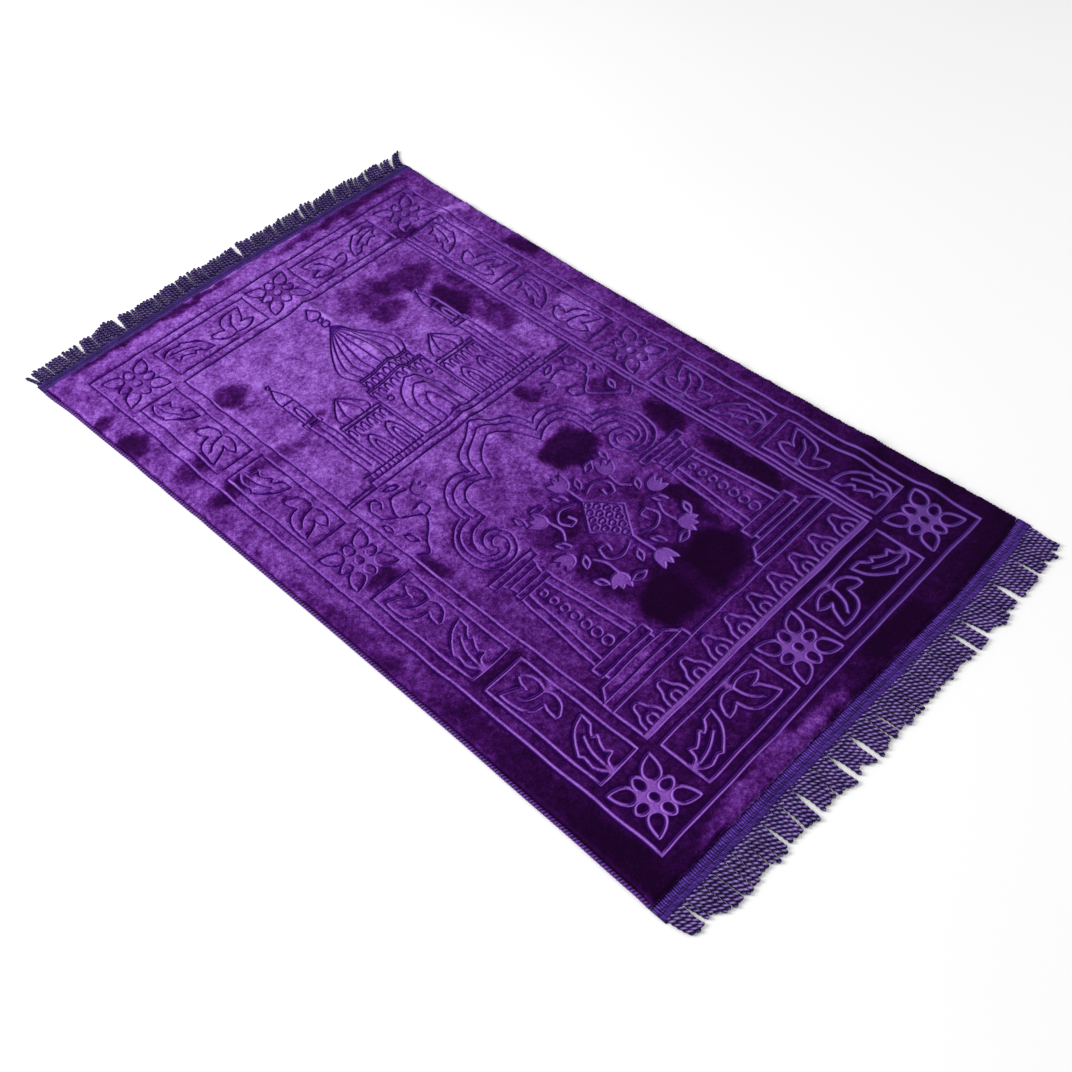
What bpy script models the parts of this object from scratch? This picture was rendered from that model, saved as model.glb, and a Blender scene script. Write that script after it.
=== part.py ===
"""A flat plush prayer rug: one thick embossed cloth, an overlocked bead sewn along each long
side, and a braided header with a cord fringe sewn to each end.

Lengths are in millimetres and become metres where a mesh is made. X runs across the rug, Y
along it to the far end, and Z up from the floor. The pattern is drawn in its own frame, with
u across and v along from the pattern's centre, which sits a little right of the cloth's."""

import math

import bpy
import numpy as np
from mathutils import Vector
from mathutils.geometry import delaunay_2d_cdt

MM = 0.001
SEAM_GAP = 0.3  # left between pieces that are sewn to each other

# The cloth, edge beads and ends
HALF_WIDTH = 333.0  # of the widest place, over the beads
CLOTH_END = 509.0  # where the pile stops, at its longest
PILE_TOP = 7.0  # height of the standing pile over the floor
PILE_EDGE = 3.6  # height of the pile's wall at its outline
PILE_ROUND = 4.0  # width of the rounded rim
BEAD_WIDTH = 5.0
BEAD_HEIGHT = 5.4
BEAD_SIDES = 5
SIDE_STATIONS = 27  # along each long side
END_STATIONS = 27  # across each end
FLOOR_STEP = 120.0  # spacing of the points of the underside
FIELD_STEP = 110.0  # spacing of the points between the lines of the top

# Header and fringe
HEADER_WIDTH = 18.0
HEADER_THICK = 3.0
HEADER_RIB = 0.7  # how far the braid's middle stands over its edges
FRINGE_END = 566.0
STRAND_PITCH = 6.4
STRAND_SIZE = 2.9
STRAND_THIN = 0.94  # its size past the root
STRAND_DRIFT = 1.6  # sideways wander of the strands' ends
STRANDS_A_PANEL = 4
STRAND_SHORT = 5.0  # by which the shortest strand falls short

# How far the outline is drawn in from its widest, from the far end to the near one
SIDE_DRAW_IN = (  # along, left side, right side
    (509.0, 0.0, 0.0),
    (440.0, 3.5, 5.0),
    (300.0, 5.5, 9.0),
    (120.0, 7.0, 14.0),
    (-60.0, 7.5, 16.0),
    (-220.0, 7.0, 15.0),
    (-380.0, 5.0, 12.5),
    (-480.0, 3.0, 10.0),
    (-509.0, 1.5, 10.0),
)
END_DRAW_IN = (  # across, near end, far end
    (-333.0, 7.0, 1.0),
    (-150.0, 6.0, 0.5),
    (-40.0, 4.0, 0.0),
    (60.0, 1.5, 0.5),
    (175.0, 0.0, 1.5),
    (260.0, 2.0, 2.0),
    (333.0, 3.5, 1.5),
)
# Where the cloth stands off the floor: soft ridges, highest in the middle
RIDGES = (  # across, along, turned from X in degrees, half length, half width, height
    (2.0, 120.0, 90.0, 330.0, 20.0, 2.8),
    (2.0, -330.0, 90.0, 150.0, 18.0, 2.2),
    (-262.0, 330.0, 8.0, 95.0, 30.0, 4.2),
    (-270.0, 262.0, -6.0, 85.0, 26.0, 3.6),
    (-268.0, 196.0, 10.0, 90.0, 24.0, 3.8),
    (255.0, 392.0, -14.0, 90.0, 20.0, 4.6),
    (262.0, -235.0, 24.0, 80.0, 26.0, 3.4),
    (270.0, -322.0, 12.0, 75.0, 28.0, 4.4),
    (272.0, -412.0, 4.0, 70.0, 24.0, 4.0),
)

# The pressed lines
CENTRE_U, CENTRE_V = 3.0, 0.0  # the pattern's centre on the cloth
PRESS_DEPTH = 2.2
PRESS_HALF = 2.3  # half the width of a pressed line
STRAIGHT_STEP = 130.0
CURVE_STEP = 20.0
MITRE_LIMIT = 1.8
RIDGE_SAMPLE = 6.0  # spacing at which a line is tried for ridges
RIDGE_FOOT = 0.25  # the rise that counts as being on one
WELD = 0.4  # points nearer than this become one

OUTER_RULE = (286.0, 475.0)
FIELD_RULE = (197.0, 385.0)
BAND_PANEL = (42.0, 193.0, 399.0, 460.0)  # u from, u to, v from, v to
SIDE_PANELS = ((213.0, 269.5, 52.0, 208.0), (213.0, 269.5, 225.0, 385.0))
ROSETTES = ((242.0, 430.0), (0.0, 430.0), (241.0, 0.0))  # each is mirrored both ways
ROSETTE_PETALS = (  # first turn in degrees, centre to root, centre to tip, width, corners
    (45.0, 13.0, 46.0, 18.0, 7),
    (0.0, 8.0, 28.0, 12.0, 5),
)
BAND_LEAF = (191.0, 438.0, 200.0)  # where the stalk starts, and its turn in degrees
BAND_SPRIG_U = 89.0
SIDE_LEAF_U, SIDE_LEAF_TURN = 250.0, 250.0
SIDE_SPRIG_RISE = 47.0  # from the panel's inner end to the sprig's stalk
ARCADE_FOOT, ARCADE_RULE, ARCADE_PITCH, ARCADE_COUNT = -385.0, -339.0, 38.8, 10
DIVIDING_RULE = 64.0
COLUMN_U = 131.0
COLUMN_BLOCKS = (  # top, foot, half width at the top and at the foot
    (-134.0, -143.0, 34.0, 34.0),
    (-143.0, -162.0, 26.0, 18.0),
    (-165.0, -174.0, 22.0, 22.0),
    (-288.0, -302.0, 42.0, 42.0),
    (-311.0, -324.0, 50.0, 58.0),
    (-324.0, -339.0, 66.0, 66.0),
)
SHAFT_LINES = ((22.0, 34.0), (12.0, 22.0))  # half width at the top and at the foot
SHAFT_TOP, SHAFT_FOOT = -174.0, -288.0
SHAFT_BEADS = ((-196.0, 5.0), (-220.0, 5.5), (-245.0, 6.0), (-271.0, 6.5))
VOLUTE = (116.0, -92.0)
VOLUTE_TURNS = ((38.0, 1.55), (28.0, 1.05))  # outer radius, turns to its inner end
ARCH_SPACING = 9.5


# ---------------------------------------------------------------- outline and folds


def along_table(rows, column, place):
    """The column's value at a place, by a smooth blend between the two nearest rows."""
    rows = sorted(rows)
    stations = np.array([row[0] for row in rows])
    values = np.array([row[column] for row in rows])
    place = np.clip(place, stations[0], stations[-1])
    slot = np.clip(np.searchsorted(stations, place) - 1, 0, len(rows) - 2)
    share = (place - stations[slot]) / (stations[slot + 1] - stations[slot])
    blend = share * share * (3 - 2 * share)
    return values[slot] + blend * (values[slot + 1] - values[slot])


def side_x(y, side):
    """The outer face of the edge bead: side is -1 for the left and 1 for the right."""
    return side * (HALF_WIDTH - along_table(SIDE_DRAW_IN, 1 if side < 0 else 2, y))


def end_y(x, end):
    """Where the pile stops: end is -1 for the near end and 1 for the far one."""
    return end * (CLOTH_END - along_table(END_DRAW_IN, 1 if end < 0 else 2, x))


def lift(x, y):
    """How far the cloth stands off the floor: the sum of ridges (1 - r^2)^2, each zero
    past its own ellipse, so the rest lies flat."""
    total = np.zeros(np.shape(x))
    for across, along, turn, half_long, half_wide, height in RIDGES:
        cos, sin = math.cos(math.radians(turn)), math.sin(math.radians(turn))
        p = ((x - across) * cos + (y - along) * sin) / half_long
        q = ((y - along) * cos - (x - across) * sin) / half_wide
        total = total + height * np.clip(1 - p * p - q * q, 0, None) ** 2
    return total


# ---------------------------------------------------------------- drawing


def straight(*knots, closed=False):
    """Runs between the knots, with a point every STRAIGHT_STEP at most."""
    knots = [np.array(knot, float) for knot in knots]
    if closed:
        knots.append(knots[0])
    points = []
    for start, stop in zip(knots, knots[1:]):
        count = max(1, math.ceil(np.linalg.norm(stop - start) / STRAIGHT_STEP))
        points += [start + (stop - start) * i / count for i in range(count)]
    return np.array(points if closed else points + [knots[-1]]), closed


def curve(*knots, closed=False, sharp=()):
    """Cubic spans through the knots; the knots numbered in sharp are corners."""
    knots = np.array(knots, float)
    count = len(knots)
    points = []
    for i in range(count if closed else count - 1):
        j = (i + 1) % count
        before = knots[i - 1] if closed or i > 0 else knots[i]
        after = knots[(j + 1) % count] if closed or j + 1 < count else knots[j]
        leave = (knots[j] - knots[i]) if i in sharp else (knots[j] - before) / 2
        arrive = (knots[j] - knots[i]) if j in sharp else (after - knots[i]) / 2
        steps = max(1, round(np.linalg.norm(knots[j] - knots[i]) / CURVE_STEP))
        t = np.arange(steps)[:, None] / steps
        points.append(
            (2 * t**3 - 3 * t**2 + 1) * knots[i]
            + (t**3 - 2 * t**2 + t) * leave
            + (3 * t**2 - 2 * t**3) * knots[j]
            + (t**3 - t**2) * arrive
        )
    if not closed:
        points.append(knots[-1:])
    return np.vstack(points), closed


def rectangle(u0, u1, v0, v1):
    return straight((u0, v0), (u1, v0), (u1, v1), (u0, v1), closed=True)


def ring(u, v, radius, sides=5):
    turn = np.arange(sides) * 2 * math.pi / sides
    return np.column_stack([u + radius * np.cos(turn), v + radius * np.sin(turn)]), True


def placed(line, u=0.0, v=0.0, degrees=0.0, flip_u=1, flip_v=1):
    """The line turned, mirrored where a flip is -1, and moved to (u, v)."""
    points, closed = line
    cos, sin = math.cos(math.radians(degrees)), math.sin(math.radians(degrees))
    turned = points @ np.array([[cos, sin], [-sin, cos]])
    return turned * (flip_u, flip_v) + (u, v), closed


def mirrored(lines):
    """The lines and their mirror images across the rug's long middle."""
    return lines + [(points * (-1, 1), closed) for points, closed in lines]


def four_ways(lines):
    both = mirrored(lines)
    return both + [(points * (1, -1), closed) for points, closed in both]


# ---------------------------------------------------------------- motifs


def petal(root, tip, width, corners):
    """A drop along +u: (cos t, sin t sin(t/2)) stretched, round at the root."""
    t = np.arange(corners) * 2 * math.pi / corners
    u = (root + tip) / 2 + (tip - root) / 2 * np.cos(t)
    v = width / 2 / 0.77 * np.sin(t) * np.abs(np.sin(t / 2))
    return np.column_stack([u, v]), True


def rosette(u, v):
    lines = []
    for first, root, tip, width, corners in ROSETTE_PETALS:
        drop = petal(root, tip, width, corners)
        lines += [placed(drop, u, v, first + 90 * i) for i in range(4)]
    return lines


def toothed_leaf(length=72.0, half_width=12.5, teeth=4, bend=5.0):
    """A leaf along +u from its stalk: a sine envelope whose edge steps out to a tooth and
    back to a notch, and a midrib."""
    t, swing = [], []
    for tooth in range(teeth):
        t += [(tooth + 0.75) / (teeth + 0.6), (tooth + 1.0) / (teeth + 0.6)]
        swing += [1.12, 0.78]
    t, swing = np.array(t), np.array(swing)
    reach = half_width * np.sin(math.pi * (0.06 + 0.94 * t) ** 0.85) * swing
    middle = bend * np.sin(math.pi * t)
    upper = np.column_stack([length * t, middle + reach])
    lower = np.column_stack([length * t, middle - reach])[::-1]
    outline = np.vstack([[(0.0, 0.0)], upper, [(length, 0.0)], lower])
    rib = straight((4.0, 0.5), (length * 0.62, bend))
    return [(outline, True), rib]


def sprig():
    """A stalk from the rule above, a bud to the left and a two-pointed leaf to the right,
    hanging towards -v from the stalk's root at (0, 0)."""
    stalk = curve((0.0, 0.0), (0.0, -24.0), (11.0, -43.0))
    bud = curve(
        (-1.0, -10.0), (-16.0, -9.0), (-29.0, -18.0), (-33.0, -30.0), (-22.0, -32.0),
        (-14.0, -25.0), sharp=(3,),
    )
    leaf = curve(
        (-1.0, -10.0), (14.0, -7.0), (33.0, -18.0), (23.0, -24.0), (15.0, -24.0),
        (20.0, -36.0), (30.0, -51.0), (10.0, -52.0), (-7.0, -44.0), (-14.0, -25.0),
        sharp=(2, 4, 6),
    )
    return [stalk, bud, leaf]


def border():
    """Rules, rosettes and the leaf and sprig of each panel."""
    quarter = [rectangle(*BAND_PANEL)]
    quarter += [placed(line, *BAND_LEAF) for line in toothed_leaf()]
    for line in sprig():
        quarter.append(placed(line, BAND_SPRIG_U, BAND_PANEL[2], flip_u=-1, flip_v=-1))
    for u0, u1, v0, v1 in SIDE_PANELS:
        quarter.append(rectangle(u0, u1, v0, v1))
        quarter += [
            placed(line, SIDE_LEAF_U, v1 - 1.0, SIDE_LEAF_TURN) for line in toothed_leaf()
        ]
        quarter += [placed(line, u0, v0 + SIDE_SPRIG_RISE, 90, flip_v=-1) for line in sprig()]
    lines = four_ways(quarter)
    for half_u, half_v in (OUTER_RULE, FIELD_RULE):
        lines.append(rectangle(-half_u, half_u, -half_v, half_v))
    for u, v in ROSETTES:
        for side_u in (1, -1) if u else (1,):
            for side_v in (1, -1) if v else (1,):
                lines += rosette(side_u * u, side_v * v)
    return lines


def arcade():
    """The row of small bell arches at the foot of the field, each with its keyhole."""
    lines = [straight((-FIELD_RULE[0], ARCADE_RULE), (FIELD_RULE[0], ARCADE_RULE))]
    bell = curve(
        (-15.0, 0.0), (-15.5, 12.0), (-9.5, 26.0), (0.0, 37.0), (9.5, 26.0), (15.5, 12.0),
        (15.0, 0.0),
    )
    keyhole = straight((-6.0, 0.0), (-4.5, 16.0), (4.5, 16.0), (6.0, 0.0))
    for i in range(ARCADE_COUNT):
        u = (i - (ARCADE_COUNT - 1) / 2) * ARCADE_PITCH
        lines += [placed(bell, u, ARCADE_FOOT), placed(keyhole, u, ARCADE_FOOT)]
    return lines


def column():
    """The right-hand column: stepped blocks, a tapering shaft and its string of beads."""
    lines = []
    for top, foot, half_top, half_foot in COLUMN_BLOCKS:
        lines.append(
            straight(
                (-half_top, top), (half_top, top), (half_foot, foot), (-half_foot, foot),
                closed=True,
            )
        )
    for half_top, half_foot in SHAFT_LINES:
        for side in (1, -1):
            lines.append(straight((side * half_top, SHAFT_TOP), (side * half_foot, SHAFT_FOOT)))
    lines += [ring(0.0, v, radius) for v, radius in SHAFT_BEADS]
    return [placed(line, COLUMN_U) for line in lines]


def volute():
    """The right-hand scroll: spirals r = R (1 - 0.8 k) as k goes from 0 to its inner end,
    wound from the top down the outer side."""
    lines = []
    for radius, turns in VOLUTE_TURNS:
        samples = round(turns * 11)
        k = np.linspace(0, 1, samples)
        turn = math.radians(70) - k * turns * 2 * math.pi
        reach = radius * (1 - 0.78 * k**1.25)
        spiral = np.column_stack([reach * np.cos(turn), reach * np.sin(turn)])
        lines.append((spiral + VOLUTE, False))
    return lines


def niche_arch():
    """The right half of the pointed, lobed arch: lines side by side from its tip over the
    lobe to the scroll, each nearer the middle than the last."""
    lines = []
    for i in range(3):
        inset = i * ARCH_SPACING
        lines.append(
            curve(
                (0.0, 57.0 - 1.35 * inset),
                (24.0 - 0.35 * inset, 37.0 - inset),
                (47.0 - 0.45 * inset, 4.0 - inset),
                (72.0, 9.0 - inset),
                (99.0 - 0.75 * inset, -8.0 - 0.55 * inset),
                (111.0 - inset, -38.0 - 0.3 * inset),
                (VOLUTE[0] + 13.0 - 0.6 * inset, VOLUTE[1] + 36.0 - 0.35 * inset),
                sharp=(2,),
            )
        )
    return lines


def dome(base, half_width, height, swell=1.22):
    """A bulb with a pointed tip, drawn from its left foot to its right one."""
    wide = half_width * swell
    return curve(
        (-half_width, base), (-wide, base + 0.27 * height), (-0.62 * wide, base + 0.62 * height),
        (0.0, base + height), (0.62 * wide, base + 0.62 * height), (wide, base + 0.27 * height),
        (half_width, base), sharp=(3,),
    )


def pointed_opening(u, foot, half_width, height):
    return curve(
        (u - half_width, foot), (u - half_width, foot + 0.6 * height), (u, foot + height),
        (u + half_width, foot + 0.6 * height), (u + half_width, foot), sharp=(1, 2, 3),
    )


def pavilion():
    """A garden pavilion seen from the front: plinth, tall middle porch, low wings with
    small domes, a drum and a bulb dome, and a slim tower at each end."""
    foot = DIVIDING_RULE
    right = [
        rectangle(52.0, 116.0, foot + 22, foot + 106),
        pointed_opening(68.0, foot + 22, 10.0, 52.0),
        pointed_opening(97.0, foot + 22, 10.0, 52.0),
        placed(dome(foot + 106, 20.0, 46.0), 84.0),
        rectangle(122.0, 140.0, foot + 22, foot + 190),
        rectangle(118.0, 144.0, foot + 136, foot + 145),
        placed(dome(foot + 190, 9.0, 34.0, 1.0), 131.0),
    ]
    middle = [
        straight((-FIELD_RULE[0], foot), (FIELD_RULE[0], foot)),
        rectangle(-150.0, 150.0, foot, foot + 12),
        rectangle(-48.0, 48.0, foot + 22, foot + 132),
        pointed_opening(0.0, foot + 22, 30.0, 88.0),
        rectangle(-41.0, 41.0, foot + 132, foot + 152),
        dome(foot + 152, 42.0, 104.0),
        straight((0.0, foot + 152), (0.0, foot + 256)),
        ring(0.0, foot + 264, 5.5),
        ring(0.0, foot + 275, 4.0),
    ]
    ribs = [
        curve((16.0, foot + 152), (22.0, foot + 182), (13.0, foot + 217), (0.0, foot + 256)),
        curve((30.0, foot + 152), (38.0, foot + 182), (23.0, foot + 217), (0.0, foot + 256)),
    ]
    return mirrored(right + ribs) + middle


def flower(u, v, degrees, size):
    """An open tulip: three points over a round cup."""
    cup = curve(
        (0.0, -0.9), (0.75, -0.35), (0.9, 0.9), (0.3, 0.3), (0.0, 1.0), (-0.3, 0.3),
        (-0.9, 0.9), (-0.75, -0.35), closed=True, sharp=(2, 3, 4, 5, 6),
    )
    return placed((cup[0] * size, True), u, v, degrees)


def bouquet():
    """The seed head under the arch, the flowers round it, and the spandrels' scrolls."""
    head = straight((0.0, -129.0), (31.0, -166.0), (0.0, -203.0), (-31.0, -166.0), closed=True)
    right = [
        flower(59.0, -112.0, -35.0, 12.0),
        flower(80.0, -173.0, -90.0, 12.0),
        flower(59.0, -236.0, -145.0, 12.0),
        curve((12.0, -124.0), (30.0, -118.0), (44.0, -130.0), (38.0, -144.0)),
        curve((12.0, -208.0), (30.0, -214.0), (46.0, -204.0), (42.0, -188.0)),
        curve((168.0, -38.0), (142.0, -10.0), (166.0, 12.0), (152.0, 40.0), (128.0, 38.0)),
        curve((166.0, 12.0), (180.0, 24.0), (182.0, 44.0)),
        flower(118.0, 30.0, 70.0, 10.0),
    ]
    middle = [flower(0.0, -92.0, 0.0, 13.0), flower(0.0, -250.0, 180.0, 13.0)]
    seeds = [ring(0.0, -166.0, 9.0)]
    return mirrored(right) + middle + seeds + [head]


def over_ridges(points, closed):
    """The line with a point more at the foot, top and foot of each ridge that it crosses."""
    stops = np.roll(points, -1, axis=0) if closed else points[1:]
    made = []
    for start, stop in zip(points, stops):
        made.append(start)
        length = np.linalg.norm(stop - start)
        share = np.arange(0.0, 1.0, RIDGE_SAMPLE / length)
        rise = lift(*(start + share[:, None] * (stop - start)).T)
        high = rise > RIDGE_FOOT
        change = high[1:] != high[:-1]
        peak = (rise[1:-1] > rise[:-2]) & (rise[1:-1] >= rise[2:]) & high[1:-1]
        kept = np.unique(np.concatenate([share[1:][change], share[1:-1][peak]]))
        kept = kept[(kept * length > RIDGE_SAMPLE) & ((1 - kept) * length > RIDGE_SAMPLE)]
        made += [start + part * (stop - start) for part in kept]
    if not closed:
        made.append(points[-1])
    return np.array(made), closed


def ridge_points():
    """Points along each ridge's top, and at its feet on both sides."""
    spots = []
    for across, along, turn, half_long, half_wide, _ in RIDGES:
        cos, sin = math.cos(math.radians(turn)), math.sin(math.radians(turn))
        for p, q in ((-0.6, 0), (-0.2, 0), (0.2, 0), (0.6, 0), (-0.5, 1), (0.5, 1),
                     (-0.5, -1), (0.5, -1)):
            p, q = p * half_long, q * half_wide
            spots.append((across + p * cos - q * sin, along + p * sin + q * cos))
    spots = np.array(spots)
    return spots[np.abs(spots[:, 0]) < HALF_WIDTH - 2 * (BEAD_WIDTH + PILE_ROUND) - 10]


def pressed_lines():
    """Every pressed line as (points on the cloth, closed)."""
    niche = mirrored(column() + volute() + niche_arch())
    drawn = border() + arcade() + niche + pavilion() + bouquet()
    return [over_ridges(points + (CENTRE_U, CENTRE_V), closed) for points, closed in drawn]


# ---------------------------------------------------------------- solids


def offset(points, closed, distance):
    """The line moved sideways by a distance, with its corners mitred up to a limit."""
    ahead = np.roll(points, -1, axis=0) - points
    if not closed:
        ahead[-1] = ahead[-2]
    ahead /= np.linalg.norm(ahead, axis=1)[:, None]
    behind = np.roll(ahead, 1, axis=0)
    if not closed:
        behind[0] = ahead[0]
    normal = np.column_stack([-(ahead + behind)[:, 1], (ahead + behind)[:, 0]]) / 2
    size = np.linalg.norm(normal, axis=1)[:, None]
    size = np.maximum(size, 1 / MITRE_LIMIT)
    return points + normal / size**2 * distance


def distance_to(points, lines):
    """Each point's distance to the nearest run of any line."""
    starts, stops = [], []
    for line, closed in lines:
        starts.append(line if closed else line[:-1])
        stops.append(np.roll(line, -1, axis=0) if closed else line[1:])
    start, run = np.vstack(starts), np.vstack(stops) - np.vstack(starts)
    nearest = np.full(len(points), np.inf)
    for a, d in zip(start, run):
        share = np.clip(((points - a) @ d) / max(d @ d, 1e-9), 0, 1)
        gap = points - a - share[:, None] * d
        nearest = np.minimum(nearest, np.hypot(gap[:, 0], gap[:, 1]))
    return nearest


def outline(inset):
    """The pile's outline, anticlockwise from the near left corner, moved in by inset."""
    reach = BEAD_WIDTH + SEAM_GAP + inset
    along = np.linspace(-1, 1, SIDE_STATIONS)
    across = np.linspace(-1, 1, END_STATIONS)

    def corner(side, end):
        x = side_x(end * CLOTH_END, side) - side * reach
        return np.array([x, end_y(x, end) - end * inset])

    def end_run(end):
        a, b = corner(-1, end), corner(1, end)
        x = a[0] + (b[0] - a[0]) * (across + 1) / 2
        return np.column_stack([x, end_y(x, end) - end * inset])

    def side_run(side):
        a, b = corner(side, -1), corner(side, 1)
        y = a[1] + (b[1] - a[1]) * (along + 1) / 2
        x = side_x(y, side) - side * reach
        x[0], x[-1] = a[0], b[0]
        return np.column_stack([x, y])

    runs = (end_run(-1)[:-1], side_run(1)[:-1], end_run(1)[::-1][:-1], side_run(-1)[::-1][:-1])
    return np.vstack(runs)


def grid_inside(step, margin):
    x = np.arange(-HALF_WIDTH + margin, HALF_WIDTH - margin + 1, step)
    y = np.arange(-CLOTH_END + margin, CLOTH_END - margin + 1, step)
    gx, gy = np.meshgrid(x, y)
    return np.column_stack([gx.ravel(), gy.ravel()])


def triangulated(loops, lines, loose):
    """Points and triangles inside the first loop, with every loop and line kept as edges,
    and where each point of the first loop went."""
    points, edges = [], []
    for part, closed in [(loop, True) for loop in loops] + lines:
        first = sum(len(p) for p in points)
        count = len(part)
        points.append(part)
        edges += [(first + i, first + (i + 1) % count) for i in range(count - (not closed))]
    points = np.vstack(points + [loose])
    flat = [Vector(p) for p in points.tolist()]
    rim = range(len(loops[0]))
    made, _, triangles, came_from, _, _ = delaunay_2d_cdt(flat, edges, [list(rim)], 1, WELD)
    went = {old: new for new, sources in enumerate(came_from) for old in sources}
    return np.array([tuple(p) for p in made]), np.array(triangles), [went[i] for i in rim]


def add_piece(name, points, faces, surface, smooth):
    """One closed object from points in millimetres, with its normals made to face out."""
    mesh = bpy.data.meshes.new(name)
    mesh.from_pydata((np.asarray(points) * MM).tolist(), [], [list(map(int, f)) for f in faces])
    mesh.validate()
    mesh.materials.append(surface)
    if smooth:
        mesh.shade_smooth()
        mesh.set_sharp_from_angle(angle=math.radians(50))
    obj = bpy.data.objects.new(name, mesh)
    bpy.context.scene.collection.objects.link(obj)
    return obj


def plush(name, colour, roughness):
    """A dull cloth finish."""
    surface = bpy.data.materials.new(name)
    surface.use_nodes = True
    shader = surface.node_tree.nodes["Principled BSDF"]
    shader.inputs["Base Color"].default_value = (*colour, 1.0)
    shader.inputs["Roughness"].default_value = roughness
    shader.inputs["Metallic"].default_value = 0.0
    surface.diffuse_color = (*colour, 1.0)
    return surface


def pile_cloth(surface):
    """The plush: a top pressed along the lines, an underside, and a low wall between."""
    lines = pressed_lines()
    rim, inner = outline(0.0), outline(PILE_ROUND)
    kept = []
    for points, closed in lines:
        kept.append((points, closed))
        kept += [(offset(points, closed, side * PRESS_HALF), closed) for side in (1, -1)]
    field = np.vstack([grid_inside(FIELD_STEP, 26.0), ridge_points()])
    field = field[distance_to(field, lines) > 3 * PRESS_HALF]
    top, top_faces, top_rim = triangulated([rim, inner], kept, field)
    pressed = PRESS_DEPTH * np.clip(1 - distance_to(top, lines) / PRESS_HALF, 0, 1)
    height = PILE_TOP - pressed
    height[top_rim] = PILE_EDGE
    height += lift(top[:, 0], top[:, 1])

    flat = np.vstack([grid_inside(FLOOR_STEP, 26.0), ridge_points()])
    under, under_faces, under_rim = triangulated([rim], [], flat)
    floor = lift(under[:, 0], under[:, 1])
    points = np.vstack([np.column_stack([top, height]), np.column_stack([under, floor])])
    faces = top_faces.tolist() + (under_faces[:, ::-1] + len(top)).tolist()
    below = [len(top) + i for i in under_rim]
    for i in range(len(rim)):
        faces.append((below[i - 1], below[i], top_rim[i], top_rim[i - 1]))
    return add_piece("pile_cloth", points, faces, surface, smooth=True)


def edge_bead(name, side, surface):
    """The overlocked edge: a rounded section, flat below, carried along the cloth's side."""
    turn = np.linspace(0, math.pi, BEAD_SIDES)
    profile = [(math.cos(t) * BEAD_WIDTH / 2, BEAD_HEIGHT * math.sin(t) ** 0.7) for t in turn]
    near = end_y(side_x(-CLOTH_END, side), -1) + SEAM_GAP
    far = end_y(side_x(CLOTH_END, side), 1) - SEAM_GAP
    y = np.linspace(near, far, SIDE_STATIONS)
    middle = side_x(y, side) - side * BEAD_WIDTH / 2
    rise = lift(side_x(y, side) - side * (BEAD_WIDTH + SEAM_GAP), y)
    points, faces = [], []
    for station in range(SIDE_STATIONS):
        for across, up in profile:
            points.append((middle[station] + across, y[station], up + rise[station]))
    width = len(profile)
    for station in range(SIDE_STATIONS - 1):
        for i in range(width):
            a, b = station * width + i, station * width + (i + 1) % width
            faces.append((a, a + width, b + width, b))
    faces.append(list(range(width)))
    faces.append([(SIDE_STATIONS - 1) * width + i for i in reversed(range(width))])
    return add_piece(name, points, faces, surface, smooth=True)


def strand_section(centre_x, y, turn):
    """Four corners of a strand's section, turned about its length and set on the floor."""
    angles = [math.radians(turn + 45 + 90 * i) for i in range(4)]
    radius = STRAND_SIZE / 2 / math.cos(math.pi / 4) * STRAND_THIN
    corners = [(centre_x + radius * math.cos(a), radius * math.sin(a)) for a in angles]
    lowest = min(z for _, z in corners)
    return [(x, y, z - lowest) for x, z in corners]


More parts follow.
